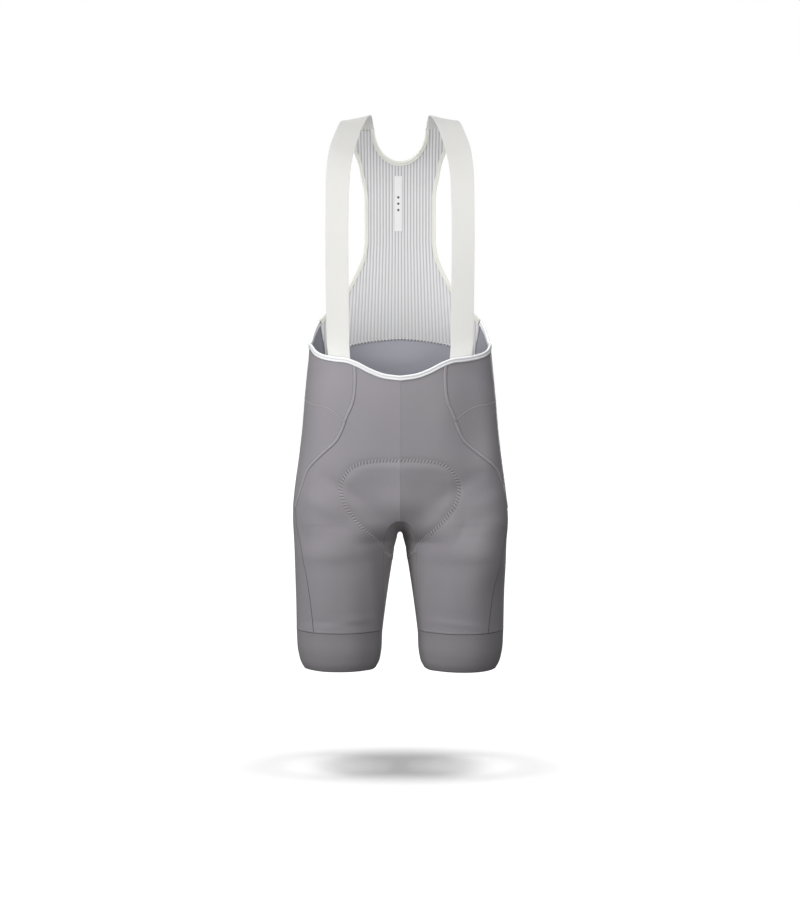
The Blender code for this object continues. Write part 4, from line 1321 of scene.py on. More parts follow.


# %% Tapes and lines of painted shade
bands = [band_ring(side, 0.0) for side in SIDES]
# Strips of painted shade: beside the broad tapes, along the gusset seams, above the yoke seam
shade_lines = steps + insets + [lifted(line, YOKE_SHADE_RISE) for line in yokes]
seam_pieces = [
    strips("broad_seam_tapes", broad, TAPE_HALF, TAPE_HIGH, seam_tape, STRIP_PROFILE),
    strips("centre_seam_tapes", centre, CENTRE_HALF, CENTRE_HIGH, centre_tape),
    strips("yoke_seam_tapes", yokes, PALE_HALF, PALE_HIGH, pale_tape),
    strips("shaded_seams", shade_lines, SHADE_HALF, SHADE_HIGH, thread_shade),
    strips("dark_seams", dark + bands, DARK_HALF, DARK_HIGH, thread_dark),
]
print({piece.name: len(piece.data.polygons) for piece in seam_pieces})

# %% Stitches over the seams
STITCH_PITCH = 1.6
BAND_STITCH_RISE = 3.2
INNER_STITCH_SHIFT = 2.4        # of the rows beside a seam, seen inside the waist
INNER_FACE = -WALL - 0.15
BARTACK = 2.4           # half its length, where yoke seam and princess seam meet


def part_near(line, place, reach):
    """The part of a line within a reach of a place."""
    points, outwards = evenly(line, 0.5)
    near = np.linalg.norm(points - place, axis=1) < reach
    return points[near], outwards[near]


tacks = [part_near(line, yoke[0][0], BARTACK) for line, yoke in zip(broad, yokes)]
inner = [moved(line, shift) for line in broad[2:4]
         for shift in (-INNER_STITCH_SHIFT, INNER_STITCH_SHIFT)]
above_band = [band_ring(side, side * BAND_STITCH_RISE) for side in SIDES]
sewn = [
    sew("broad_seam_stitches", broad, thread_grey, STITCH_PITCH, 4.6, 0.42, 0.3, 70, -70, up=0.95),
    sew("yoke_seam_stitches", yokes, thread_pale, STITCH_PITCH, 1.8, 0.36, 0.26, 65, -65, up=0.24),
    # Across the notch, dark legs of painted shade take turns with pale thread
    sew("seam_bartacks", tacks, thread_shade, 0.8, 5.0, 0.5, 0.6, 80, 100, thread_pale, up=1.1),
    sew("inner_seam_stitches", inner, thread_dark, 1.6, 1.9, 0.8, 0.5, up=INNER_FACE),
    sew("band_stitches", above_band, thread_grey, 2.6, 2.1, 0.5, 0.4, up=0.08),
]
seam_pieces += sewn
print({piece.name: len(piece.data.polygons) for piece in sewn})

# %% [markdown]
# ## The zigzag that holds the pad
#
# From outside, the pad's rim is a row of slanted puckers: each leg of the zigzag draws
# a small welt of cloth between itself and the next. A pale welt and a dark one take
# turns, one slanted a little more than the other, all the way round the pad: over the
# front, across the inside of each leg and up over the seat. The dark one is painted
# shade, for the legs that turn away from the light.

# %% Zigzag round the pad
ZIGZAG_PITCH, ZIGZAG_LENGTH, WELT_WIDE, WELT_HIGH = 2.7, 9.6, 1.7, 0.9
ZIGZAG_LEAN, ZIGZAG_LEAN_BACK = 62, 74
PAD_FOOT_DIP = 17       # how far the rim sags across the gusset


def on_body(side, path, behind):
    """Places on the cloth for distances from the middle and drops."""
    path = np.asarray(path)
    turn = turn_at(path[:, 0], path[:, 1], behind)
    return surface(turn, path[:, 1]) * (side, 1, 1)


def pad_rim(side):
    """The rim of the pad on one side, from the centre front to the centre back."""
    front = on_body(side, rounded_path(PAD_FRONT), False)
    back = on_body(side, rounded_path(PAD_BACK), True)
    upper = gusset_line_at(side, PAD_FOOT)[0]
    lower = gusset_line_at(side, PAD_FOOT + PAD_FOOT_DIP)[0]
    sag = np.sin(math.pi * np.linspace(0, 1, len(upper)))[:, None]
    inside = upper + (lower - upper) * sag
    places = np.concatenate([front, inside[2:-2], back])
    return evenly(ground.seat(places), 1.0)


rims = [pad_rim(side) for side in SIDES]
# Every second leg is painted shade: dark grey in place of the pale thread turned from the light
zigzag = sew("pad_zigzag", rims, thread_pale, ZIGZAG_PITCH, ZIGZAG_LENGTH, WELT_WIDE,
             WELT_HIGH, ZIGZAG_LEAN, ZIGZAG_LEAN_BACK, thread_shade, up=0.05)
print("zigzag:", len(zigzag.data.polygons), "faces")

# %% [markdown]
# ## The ribbed back
#
# The back of the bib is a thick rib knit, white on the ribs and sheer between them.
# The ribs run straight down the shoulder blades and fan out to the sides below. Its
# net follows them, eight columns to a rib, and the count of ribs from the middle is
# kept as the first distance along the cloth. Geometry Nodes then lift both faces by
# that count. The same tree would give any number of ribs on any such net.

# %% Ribs, armhole and neckline
RIB_VALLEY = 1.0        # thickness between ribs
RIB_HEIGHT = 0.5        # of a rib, on each face
BIB_SINK = 0.6          # the bib's middle lies this far inside the cloth's outer face
RIB_PITCH_BACK = 5.4    # across the shoulder blades
RIB_PITCH_WAIST = 6.15  # at the bib seam, less towards the sides
RIB_PITCH_LOSS = 0.032
SEAM_RIB, CORNER_RIB, LAST_RIB = 22, 24, 23.5
BLADE_DROP, FLARE_DROP, BLADE_HALF = 205, 128, 61.8
TAB_DROP, TAB_HALF = 16, 86
NECK_HALF, NECK_DROP = 45, 66
ARMHOLE = (             # drop, distance of the edge from the middle
    (TAB_DROP, TAB_HALF), (49, 80), (66, 73), (94, 67), (112, 63.2),
    (FLARE_DROP, BLADE_HALF), (BLADE_DROP, BLADE_HALF), (215, 62.9), (227, 65.2), (242, 70),
    (269, 82.6), (285, 91), (335, 131), (346, 140.6),
)
EDGE_RIB = BLADE_HALF / RIB_PITCH_BACK
COLUMNS_TO_A_RIB = 8
FLARE_SHARE = (BLADE_DROP - FLARE_DROP) / (BLADE_DROP - TAB_DROP)
LOWER_SHARES = np.linspace(0, 1, 44)
UPPER_SHARES = np.concatenate([np.linspace(0, FLARE_SHARE, 20)[:-1],
                               np.linspace(FLARE_SHARE, 1, 28)])
FLARE_ROW = 19


def bib_point(x, drop):
    """A point of the back above the shorts, at a place seen from behind."""
    x, drop = np.broadcast_arrays(np.asarray(x, float), np.asarray(drop, float))
    outer, back = smooth(SECTIONS, drop, OUTER), smooth(SECTIONS, drop, BACK)
    across = np.abs(x) / outer
    return np.stack([x, back * (1 - across ** TRUNK_POWER) ** (1 / TRUNK_POWER), -drop], -1)


def bib_normal(x, drop):
    """Outward direction of the back there."""
    step = 0.5
    across = bib_point(x + step, drop) - bib_point(x - step, drop)
    down = bib_point(x, drop + step) - bib_point(x, drop - step)
    return unit(np.cross(across, down))


def seam_foot(rib):
    """Where a rib starts: on the bib seam, or past its corner on the side seam."""
    if rib <= SEAM_RIB:
        x = RIB_PITCH_WAIST * rib * (1 - RIB_PITCH_LOSS * (rib / SEAM_RIB) ** 2)
        drop = 390.0
        for _ in range(20):
            share = (x / smooth(SECTIONS, drop, OUTER)) ** (TRUNK_POWER / 2)
            drop = smooth(BIB_SEAM, 180 - math.degrees(math.asin(share)))
        return x, float(drop)
    low, high = SIDE_SEAM[1][0], ARMHOLE[-1][0]
    drop = low + (high - low) * (rib - SEAM_RIB) / (CORNER_RIB - SEAM_RIB)
    return float(surface(smooth(SIDE_SEAM, drop), drop)[0]), drop


def armhole_drop(x, lower):
    """Drop of the armhole's edge at a distance, below or above its waist."""
    low, high = (BLADE_DROP, ARMHOLE[-1][0]) if lower else (TAB_DROP, FLARE_DROP)
    drops = np.linspace(low, high, 400)
    widths = smooth(ARMHOLE, drops)
    order = np.argsort(widths)
    return float(np.interp(x, widths[order], drops[order]))


def lower_rib(rib):
    """Both ends of a rib's lower stretch, as distance from the middle and drop."""
    foot = seam_foot(rib)
    if rib <= EDGE_RIB:
        return foot, (RIB_PITCH_BACK * rib, BLADE_DROP)
    share = (rib - EDGE_RIB) / (CORNER_RIB - EDGE_RIB)
    x = BLADE_HALF + (seam_foot(CORNER_RIB)[0] - BLADE_HALF) * share
    return foot, (x, armhole_drop(x, lower=True))


def upper_rib(rib):
    """Both ends of a rib's upper stretch."""
    x = min(RIB_PITCH_BACK * rib, TAB_HALF)
    foot = BLADE_DROP if rib <= EDGE_RIB else armhole_drop(x, lower=False)
    head = TAB_DROP
    if x < NECK_HALF:
        head += (NECK_DROP - TAB_DROP) * math.sqrt(1 - (x / NECK_HALF) ** 2)
    return (x, foot), (x, head)


# %% A flat net of the back
def rib_places(first, last):
    """Columns between two ribs, with one exactly at the narrow edge where it is passed."""
    places = np.arange(round(first * COLUMNS_TO_A_RIB), round(last * COLUMNS_TO_A_RIB) + 1)
    places = places / COLUMNS_TO_A_RIB
    nearest = np.argmin(abs(places - EDGE_RIB))
    if abs(places[nearest] - EDGE_RIB) < 1 / COLUMNS_TO_A_RIB:
        places[nearest] = EDGE_RIB
    return places


def rib_grid(places, ends, shares):
    """Corners along ribs, between the ends that a function gives for each rib."""
    lines = []
    for rib in places:
        (x0, drop0), (x1, drop1) = ends(rib)
        x, drop = x0 + (x1 - x0) * shares, drop0 + (drop1 - drop0) * shares
        more = np.stack([0 * x, rib + 0 * x, drop], -1)
        lines.append(np.concatenate([bib_point(x, drop), more], -1))
    return np.stack(lines)


head_rib = math.ceil(TAB_HALF / RIB_PITCH_BACK)
edge_start = round(EDGE_RIB * COLUMNS_TO_A_RIB) / COLUMNS_TO_A_RIB
flared = (UPPER_SHARES[FLARE_ROW:] - FLARE_SHARE) / (1 - FLARE_SHARE)
rib_grids = [
    rib_grid(rib_places(0, LAST_RIB), lower_rib, LOWER_SHARES),
    rib_grid(rib_places(0, edge_start), upper_rib, UPPER_SHARES),
    rib_grid(rib_places(edge_start, head_rib), upper_rib, flared),
]
rib_grids[2][0] = rib_grids[1][-1, FLARE_ROW:]
bib = Patchwork()
for grid in rib_grids:
    bib.add("bib", grid, turned=True)
    bib.add("bib", grid * (-1, 1, 1, 1, -1, 1))
bib.join()
print("bib:", len(bib.points), "corners")

# %% [markdown]
# The rib tree reads the rib count from the UV map and the direction from the mesh
# itself, so it lifts the inner face inwards and the outer face outwards.

# %% Ribs by Geometry Nodes
RIB_SHARPNESS = 0.75
RIB_WHITE = (0.81, 0.805, 0.81)
RIB_GROOVE_SHEER_AND_SHADE = (0.41, 0.41, 0.435)
RIB_SHADE = (0.56, 0.56, 0.57)
GROOVE_POWER = 2.2      # how narrow the grey between two ribs is
GROOVE_FADE = (190, 380, 0.6)   # it pales between these drops, to this share
RIB_LOOP = 1.5          # millimetres


def make_rib_tree():
    """Lift a wall in even ribs, counted by its first distance along the cloth."""
    tree = bpy.data.node_groups.new("ribs", "GeometryNodeTree")
    bench, given = add_sockets(tree, [
        ("Geometry", "Geometry"), ("Height", "Float"), ("Sharpness", "Float"),
        ("Knit", "Material")])
    count = bench.node("GeometryNodeInputNamedAttribute", {"data_type": "FLOAT_VECTOR"},
                       {"Name": "cloth"}, output="Attribute")
    count = bench.node("ShaderNodeSeparateXYZ", None, [count])
    crest = (count * math.tau + math.pi / 2).sine() * 0.5 + 0.5
    lift = crest ** given["Sharpness"] * given["Height"]
    normal = bench.node("GeometryNodeInputNormal")
    shift = bench.node("ShaderNodeVectorMath", {"operation": "SCALE"},
                       {"Vector": normal, "Scale": lift})
    result = bench.node("GeometryNodeSetPosition", None,
                        {"Geometry": given["Geometry"], "Offset": shift})
    result = bench.node("GeometryNodeRealizeInstances", None, {"Geometry": result})
    result = bench.node("GeometryNodeSetMaterial", None,
                        {"Geometry": result, "Material": given["Knit"]})
    return close_tree(bench, result)


def make_rib_knit():
    """White ribs with greyer, sheerer knit between them, greyed further by painted shade."""
    finish = Finish("rib_knit_white", 0.75, {"Sheen Weight": 0.15, "Specular IOR Level": 0.25})
    count, along = finish.across_and_along()
    groove = 0.5 - (count * math.tau + math.pi / 2).sine() * 0.5
    loops = (along / RIB_LOOP + (count * 2).part() * 0.5).waves()
    place = finish.place()
    drift = finish.noise(place, 30.0, 3.0)
    height = finish.node("ShaderNodeSeparateXYZ", None, [place]).output("Z") / MM
    top, bottom, share = GROOVE_FADE
    fade = finish.node("ShaderNodeMapRange", None, [height, -top, -bottom, 1.0, share])
    # Grey in the grooves: sheer knit plus painted shade, fading lower down
    shade = finish.mix(groove ** GROOVE_POWER * fade, RIB_WHITE, RIB_GROOVE_SHEER_AND_SHADE)
    shade = finish.mix(loops * 0.14 + drift * 0.08, shade, RIB_SHADE)
    finish.feed("Base Color", shade)
    finish.raise_by(loops * (1 - groove) * 0.6 + drift * 0.2, 0.18, 0.5)
    return finish.material


rib_knit = make_rib_knit()
flat_bib = make_wall("flat_bib", bib.points - bib.normals * (BIB_SINK - RIB_VALLEY / 2),
                     bib.normals, bib.quads, bib.uv, [rib_knit], RIB_VALLEY)
pieces["bib_mesh_back"] = grown("bib_mesh_back_cloth", flat_bib, make_rib_tree(), {
    "Height": RIB_HEIGHT * MM, "Sharpness": RIB_SHARPNESS, "Knit": rib_knit})
print("ribbed back:", len(pieces["bib_mesh_back"].data.polygons), "faces")

# %% The ends of the ribs and the shoulder seams
RIB_END_PITCH = 5.75
RIB_END_RISE = 1.0      # above the bib seam
RIB_FOOT_FALL = 1.6     # below it
TAB_SEAM_DROPS = {1: 11.0, -1: 18.0}    # a little lower on the wearer's right
TAB_SEAM_INSET = 3


def shoulder_line(side):
    """Where a strap's end is sewn to the bib."""
    x = side * np.linspace(NECK_HALF + TAB_SEAM_INSET, TAB_HALF - TAB_SEAM_INSET, 24)
    return bib_point(x, TAB_SEAM_DROPS[side]), bib_normal(x, TAB_SEAM_DROPS[side])


bib_seams = [across_seam(side, BIB, 2, 3) for side in SIDES]
bib_sewing = {
    "rib_ends": sew("bib_rib_ends", [lifted(line, RIB_END_RISE) for line in bib_seams],
                    thread_white, RIB_END_PITCH, 4.6, 3.4, 2.6, 90, up=-2.2),
    # A row of painted shadow under the rib ends, on the inside below the bib seam
    "rib_foot_shadow": sew("bib_foot_painted_shadow", [lifted(line, -RIB_FOOT_FALL) for line in bib_seams],
                    thread_shade, 1.5, 2.2, 1.3, 0.9, up=INNER_FACE),
    "shoulders": sew("bib_shoulder_stitches", [shoulder_line(side) for side in SIDES],
                     thread_cream, 1.5, 2.6, 1.3, 0.8, 70, 110, up=-1.9),
}
print({name: len(piece.data.polygons) for name, piece in bib_sewing.items()})

# %% [markdown]
# ## Binding tape
#
# The raw edges at the waist, the armholes and the neck are wrapped in a folded elastic
# tape. Seen close it is two soft cords with a stitched groove between them, rolled
# over the edge. A section of that shape is carried along each edge, square to it.

# %% Sections of a folded tape
TAPE = 0.9              # thickness of one layer
TAPE_CLEARANCE, BIB_TAPE_CLEARANCE = 0.45, 0.5
SLOT_DEPTH = 0.8        # share of the clearance that the slot takes past the edge
WAIST_TAPE_HEIGHT, BIB_TAPE_HEIGHT = 7.0, 5.5
TAPE_END_GAP = 1.5
FOLD_PROFILE = (        # share of the height, past the edge, share of the tape's thickness
    (0.0, 0.0, 0.35), (0.02, 0.0, 0.8), (0.10, 0.0, 1.05), (0.25, 0.0, 1.15),
    (0.38, 0.0, 1.0), (0.47, 0.0, 0.6), (0.53, 0.0, 0.6), (0.62, 0.0, 1.0),
    (0.80, 0.0, 1.2), (0.95, 0.25, 1.15),
)
FOLD_ANGLES = (35, 65, 90, 115, 145)    # over the edge, in degrees


def fold_sections(stations, over, under):
    """Sections of a folded tape. over and under are the slot's faces for the cloth."""
    runs = []
    for top, low, top_normal, low_normal in stations:
        up = unit(top - low)

        def at(share, past, proud):
            normal = unit(low_normal + (top_normal - low_normal) * share)
            return low + (top - low) * share + up * past + normal * proud

        outside = [at(share, past, over + TAPE * rise) for share, past, rise in FOLD_PROFILE]
        inside = [at(share, past, -under - TAPE * rise) for share, past, rise in FOLD_PROFILE]
        middle, radius = (over - under) / 2, (over + under) / 2 + TAPE
        fold = [at(1, (TAPE_CLEARANCE + TAPE) * math.sin(turn), middle + radius * math.cos(turn))
                for turn in np.radians(FOLD_ANGLES)]
        slot = [at(0, 0, -under), at(1, TAPE_CLEARANCE * SLOT_DEPTH, -under),
                at(1, TAPE_CLEARANCE * SLOT_DEPTH, over), at(0, 0, over)]
        runs.append(outside + fold + inside[::-1] + slot)
    return np.array(runs)


def shortened(stations, length):
    """Take a length off both ends of a run of stations."""
    ends = []
    for last, near in ((0, 1), (-1, -2)):
        share = length / np.linalg.norm(stations[near][0] - stations[last][0])
        pairs = zip(stations[last], stations[near])
        ends.append(tuple(there + (here - there) * share for there, here in pairs))
    return [ends[0]] + stations[1:-1] + [ends[1]]


def groove_line(stations, proud):
    """The line along the groove of a tape, for its stitches."""
    middle = np.array([(top + low) / 2 for top, low, _, _ in stations])
    outwards = unit(np.array([top + low for _, _, top, low in stations]))
    return middle + outwards * proud, outwards


# %% The waist, from one side seam round the front to the other
WAIST_GAP = 0.15        # left free at both side seams
WAIST_ROWS = 6          # of the net, which give the direction down from the edge
TAPE_WHITE = (0.73, 0.735, 0.75)
TAPE_CREAM = (0.86, 0.86, 0.80)
PICK, WARP = 0.9, 0.8   # millimetres from thread to thread, across and along a tape
TAPE_PAINTED_SHADE = 0.88        # painted shade between the threads, as a share


def waist_stations(side):
    """Stations from the centre front to the side seam."""
    across = slice(0, column_of[2] + 1)
    tops, top_normals = line_through(grids[side][0, across, :3])
    unders, _ = line_through(grids[side][WAIST_ROWS, across, :3])
    along = np.gradient(tops, axis=0)
    along[0] = (side, 0, 0)
    down = unit(unders - tops)
    slant = np.linalg.norm(np.cross(unit(along), down), axis=-1)
    reach = WAIST_TAPE_HEIGHT / slant
    lows, low_normals = ground.seat(tops + down * reach[:, None])
    return list(zip(tops, lows, top_normals, low_normals))


def make_tape(name, colour):
    """Folded elastic tape: fine ribs across it, and threads along it."""
    finish = Finish(name, 0.6, {"Sheen Weight": 0.15, "Specular IOR Level": 0.3})
    across, along = finish.across_and_along()
    weave = along.waves(PICK) * 0.6 + across.waves(WARP) * 0.4
    # Darker between the threads: painted shade
    finish.feed("Base Color", finish.mix(weave, shaded(colour, TAPE_PAINTED_SHADE), colour))
    finish.raise_by(weave, 0.12, 0.5)
    return finish.material


tape_white, tape_cream = make_tape("tape_white", TAPE_WHITE), make_tape("tape_cream", TAPE_CREAM)
waist = waist_stations(-1)[:0:-1] + waist_stations(1)
waist = shortened(waist, WAIST_GAP)
sections = fold_sections(waist, TAPE_CLEARANCE, WALL + TAPE_CLEARANCE)
pieces["waist_binding"] = loft("waist_binding_cloth", [sections], [tape_white])
tape_stitches = {"waist": sew(
    "waist_binding_stitches", [groove_line(waist, TAPE_CLEARANCE + TAPE * 0.5)],
    thread_white, 2.2, 1.7, 0.5, 0.5, 12, -12, up=0.15)}
print("waist binding:", len(waist), "stations")


# %% Armholes and neck
def even_path(path, step=2.4):
    """A flat path of distances and drops with corners a step apart."""
    path = np.array(path, float)
    travel = travel_along(path)
    places = np.linspace(0, travel[-1], int(travel[-1] / step) + 1)
    return np.stack([np.interp(places, travel, path[:, axis]) for axis in (0, 1)], -1)


def bib_station(point, low):
    """A station of a tape on the bib, from distances and drops."""
    return bib_point(*point), bib_point(*low), bib_normal(*point), bib_normal(*low)


def bib_stations(path, height):
    """Stations square to a path on the bib."""
    along = np.gradient(path, axis=0)
    inward = unit(np.stack([-along[:, 1], along[:, 0]], -1)) * height
    return [bib_station(point, low) for point, low in zip(path, path + inward)]


def armhole_path():
    """The armhole's edge from the waist up to the strap."""
    lower = [lower_rib(rib)[1] for rib in np.arange(CORNER_RIB, EDGE_RIB + 0.1, -0.25)]
    waist_part = [(BLADE_HALF, drop) for drop in np.linspace(BLADE_DROP, FLARE_DROP, 12)]
    head_ribs = np.arange(EDGE_RIB + 0.1, TAB_HALF / RIB_PITCH_BACK, 0.1)
    upper = [upper_rib(rib)[0] for rib in head_ribs]
    return even_path(lower + waist_part + upper + [(TAB_HALF, TAB_DROP)])


def neck_path():
    """The neckline from one strap to the other."""
    turn = np.linspace(-math.pi / 2, math.pi / 2, 60)
    x = -NECK_HALF * np.sin(turn)
    drop = TAB_DROP + (NECK_DROP - TAB_DROP) * np.cos(turn)
    return even_path(np.stack([x, drop], -1))


over = RIB_VALLEY / 2 + RIB_HEIGHT - BIB_SINK + BIB_TAPE_CLEARANCE
under = RIB_VALLEY / 2 + RIB_HEIGHT + BIB_SINK + BIB_TAPE_CLEARANCE
armhole = armhole_path()
stations = bib_stations(armhole, -BIB_TAPE_HEIGHT)
seam_drop = armhole[0][1] + 1.4 * BIB_TAPE_HEIGHT        # the side seam crosses it aslant
seam_x = surface(smooth(SIDE_SEAM, seam_drop), seam_drop)[0]
stations[0] = bib_station(armhole[0], (seam_x, seam_drop))
stations[-1] = bib_station(armhole[-1], (TAB_HALF - BIB_TAPE_HEIGHT, TAB_DROP))
stations = shortened(stations, TAPE_END_GAP)
tape_runs = {}
for name, side in SIDE_NAMES.items():
    tape_runs["armhole_binding_" + name] = [
        tuple(value * (side, 1, 1) for value in station) for station in stations]
stations = bib_stations(neck_path(), -BIB_TAPE_HEIGHT)
tape_runs["neck_binding"] = shortened(stations, TAPE_END_GAP)
for name, run in tape_runs.items():
    sections = fold_sections(run, over, under)
    pieces[name] = loft(name + "_cloth", [sections], [tape_cream])
    tape_stitches[name] = sew(name + "_stitches", [
        groove_line(run, over + TAPE * 0.5), groove_line(run, -under - TAPE * 0.5)],
        thread_white, 2.2, 1.7, 0.45, 0.45, 12, -12)
print("tapes:", {name: len(run) for name, run in tape_runs.items()})

# %% [markdown]
# ## Shoulder straps
#
# Each strap is a flat woven elastic, forty millimetres wide. It starts behind the
# waist tape, runs up the front, turns over the shoulder and is sewn to the bib. The
# route is a table of both its edges. The weave has fine picks across and a firmer
# selvedge along both edges, which shows as a slightly brighter line.

# %% Straps
STRAP_FOOT = ((428, 117.6, 83.0), (424, 118.1, 82.9), (420, 118.6, 82.8), (416, 119.0, 82.8),
              (412, 119.4, 82.8))
STRAP_FOOT_BEHIND = WALL + TAPE_CLEARANCE + TAPE + 0.6
STRAP = (               # outer edge x, y, drop; inner edge x, y, drop
    (120.6, -74.0, 388, 83.2, -94.5, 388),
    (121.2, -80.5, 350, 83.4, -99.5, 350),
    (121.5, -92.5, 290, 83.8, -107.0, 290),
    (121.4, -103.0, 230, 83.9, -113.0, 230),
    (121.0, -106.5, 175, 83.3, -113.5, 170),
    (120.3, -104.0, 122, 81.2, -108.5, 117),
    (118.2, -97.0, 92.5, 77.9, -99.5, 92),
    (114.5, -86.0, 67.5, 74.8, -89.0, 75),
    (107.5, -70.0, 44, 69.6, -75.0, 55),
    (101.5, -52.0, 26, 64.0, -56.5, 34.5),
    (98.0, -33.0, 17, 58.0, -36.0, 17.5),
    (94.5, -12.0, 12.5, 53.0, -13.5, 5.5),
    (90.5, 11.0, 11, 49.0, 8.0, 0),
    (87.6, 27.5, 12, 46.5, 26.5, 6.5),
)
STRAP_COLUMNS, STRAP_STEPS = 18, 12
STRAP_FLAT_ROW = 3      # row of the table by which the strap has lost the bow of the waist
SELVEDGE = 0.055        # share of the width
SELVEDGE_HIGH = 0.22
CUT_EDGE = (0.01, 0.35)         # share of the width that is thinner, and by how much
ELASTIC = (0.737, 0.733, 0.712)
ELASTIC_PAINTED_SHADE = 0.93     # painted shade between the threads, as a share
ELASTIC_PICK, ELASTIC_WARP = 1.3, 1.0


def strap_grid():
    """Corners of the left strap's outer face, from its foot upwards."""
    shares = np.linspace(0, 1, STRAP_COLUMNS + 1)
    lines = []
    for drop, outer, inner in STRAP_FOOT:
        x = inner + (outer - inner) * shares
        turn = turn_at(x, drop)
        across = surface(turn + 1, drop) - surface(turn - 1, drop)
        along = surface(turn, drop - 1) - surface(turn, drop + 1)
        outwards = unit(np.cross(across, along))
        lines.append(surface(turn, drop) - outwards * STRAP_FOOT_BEHIND)
    foot = lines[-1]
    bow = foot - np.outer(1 - shares, foot[0]) - np.outer(shares, foot[-1])
    flip = np.array([1, 1, -1, 1, 1, -1])
    table = [np.concatenate([foot[-1], foot[0]]) * flip]
    table += [np.array(row, float) for row in STRAP]
    table.append(np.concatenate([bib_point(x, TAB_DROP) for x in (TAB_HALF, NECK_HALF)]) * flip)
    table = [np.concatenate([[place], row]) for place, row in enumerate(table)]
    for place in np.linspace(0, len(table) - 1, STRAP_STEPS * (len(table) - 1) + 1)[1:]:
        edges = np.array([smooth(table, place, column) for column in range(1, 7)]) * flip
        flat = np.outer(1 - shares, edges[3:]) + np.outer(shares, edges[:3])
        lines.append(flat + bow * max(0.0, 1 - place / STRAP_FLAT_ROW))
    return np.stack(lines), shares


def strap_sections(grid, shares):
    """Closed sections of the strap: a flat weave with a cord along both edges."""
    across, along = np.gradient(grid, axis=1), np.gradient(grid, axis=0)
    outwards = unit(np.cross(across, along))
    from_edge = np.minimum(shares, 1 - shares)
    cord = SELVEDGE_HIGH * np.exp(-((from_edge - SELVEDGE * 0.6) / SELVEDGE) ** 2)
    thin = np.where(from_edge < CUT_EDGE[0], CUT_EDGE[1], 0.0)
    front = grid + outwards * (cord - thin)[None, :, None]
    back = grid - outwards * (WALL + cord - thin)[None, :, None]
    return np.concatenate([front, back[:, ::-1]], axis=1)


def make_elastic():
    """Woven elastic: firm picks across it and fine warps along it."""
    finish = Finish("strap_elastic", 0.6, {"Sheen Weight": 0.18, "Specular IOR Level": 0.3})
    across, along = finish.across_and_along()
    picks, warps = along.waves(ELASTIC_PICK), across.waves(ELASTIC_WARP)
    weave = picks * 0.65 + warps * picks * 0.35
    drift = finish.noise(finish.place(), 22.0, 3.0)
    dark = shaded(ELASTIC, ELASTIC_PAINTED_SHADE)
    # Darker between the threads: painted shade, with random drift
    finish.feed("Base Color", finish.mix(weave * 0.5 + drift * 0.3, dark, ELASTIC))
    finish.raise_by(weave, 0.12, 0.5)
    return finish.material


strap_elastic = make_elastic()
strap_face, shares = strap_grid()
for name, side in SIDE_NAMES.items():
    sections = strap_sections(strap_face, shares) * (side, 1, 1)
    pieces["strap_" + name] = loft("strap_" + name + "_cloth", [sections], [strap_elastic])
print("straps:", strap_face.shape[:2])

# %% [markdown]
# ## The label
#
# A narrow satin label is sewn inside the bib below the neck. It is left without any
# words: three woven dots stand in its middle.

# %% Label
LABEL_MIDDLE, LABEL_WIDTH = -3.0, 13.0
LABEL_TOP, LABEL_BOTTOM = 88.0, 184.0
LABEL_THICKNESS = 0.48
LABEL_BEHIND = BIB_SINK + RIB_VALLEY / 2 + RIB_HEIGHT + 0.3
LABEL_SLACK = 0.5       # how far it stands off the bib between its ends
LABEL_DOTS = (-11.0, 0.0, 11.0)         # from its middle
DOT_RADIUS = 2.1
SATIN_PITCH = 0.8
SATIN, SATIN_SHADE, DOT_DARK = (0.84, 0.84, 0.84), (0.79, 0.79, 0.79), (0.06, 0.06, 0.065)


def make_satin():
    """Woven satin with three dark dots down its middle."""
    finish = Finish("label_satin", 0.4, {"Sheen Weight": 0.1, "Specular IOR Level": 0.5})
    split = finish.node("ShaderNodeSeparateXYZ", None, [finish.place()])
    x, z = split / MM - LABEL_MIDDLE, split.output("Z") / MM
    ribs = z.waves(SATIN_PITCH)
    mark = None
    for shift in LABEL_DOTS:
        gap = (x ** 2.0 + (z + (LABEL_TOP + LABEL_BOTTOM) / 2 + shift) ** 2.0) ** 0.5
        dot = 1 - gap.over(DOT_RADIUS)
        mark = dot if mark is None else mark + dot
    shade = finish.mix(ribs * 0.5, SATIN, SATIN_SHADE)
    finish.feed("Base Color", finish.mix(mark, shade, DOT_DARK))
    finish.raise_by(ribs, 0.06, 0.4)
    return finish.material


def make_label():
    """A strip of satin on the bib's inner face, a little slack between its ends."""
    runs = []
    for drop in np.linspace(LABEL_TOP, LABEL_BOTTOM, 49):
        section = []
        share = (drop - LABEL_TOP) / (LABEL_BOTTOM - LABEL_TOP)
        wave = 1 + 0.6 * math.sin(3 * math.pi * share)
        slack = LABEL_SLACK * math.sin(math.pi * share) * wave
        for side, depth in ((-1, 0), (0, 0), (1, 0), (1, 1), (0, 1), (-1, 1)):
            x = LABEL_MIDDLE + side * LABEL_WIDTH / 2
            behind = LABEL_BEHIND + depth * (LABEL_THICKNESS + slack)
            section.append(bib_point(x, drop) - bib_normal(x, drop) * behind)
        runs.append(section)
    return loft("label_cloth", [np.array(runs)], [make_satin()], 30.0)


pieces["label"] = make_label()
print("label:", len(pieces["label"].data.polygons), "faces")

# %% [markdown]
# ## Floor and light
#
# The shorts hang in front of a white sweep. Of the lights, a tall soft one from the left
# and one in front round the cloth, a weaker one above reaches inside the waist, and one
# behind lights the seat. Little light comes from the right, which is what rounds the
# cloth. White elastic and rib knit let light through, so in place of those lights they
# get an even white room, stronger in front. The straps throw no shadow, and under three
# of the lights nothing does, because a real studio fills such shadows from its walls.
# The sweep itself is a floor with a faint glow and a pale surrounding. Four soft suns,
# leaning to both sides, keep the floor white and spread the shadow under the legs. They
# light nothing else, and the other lights pass the floor by.

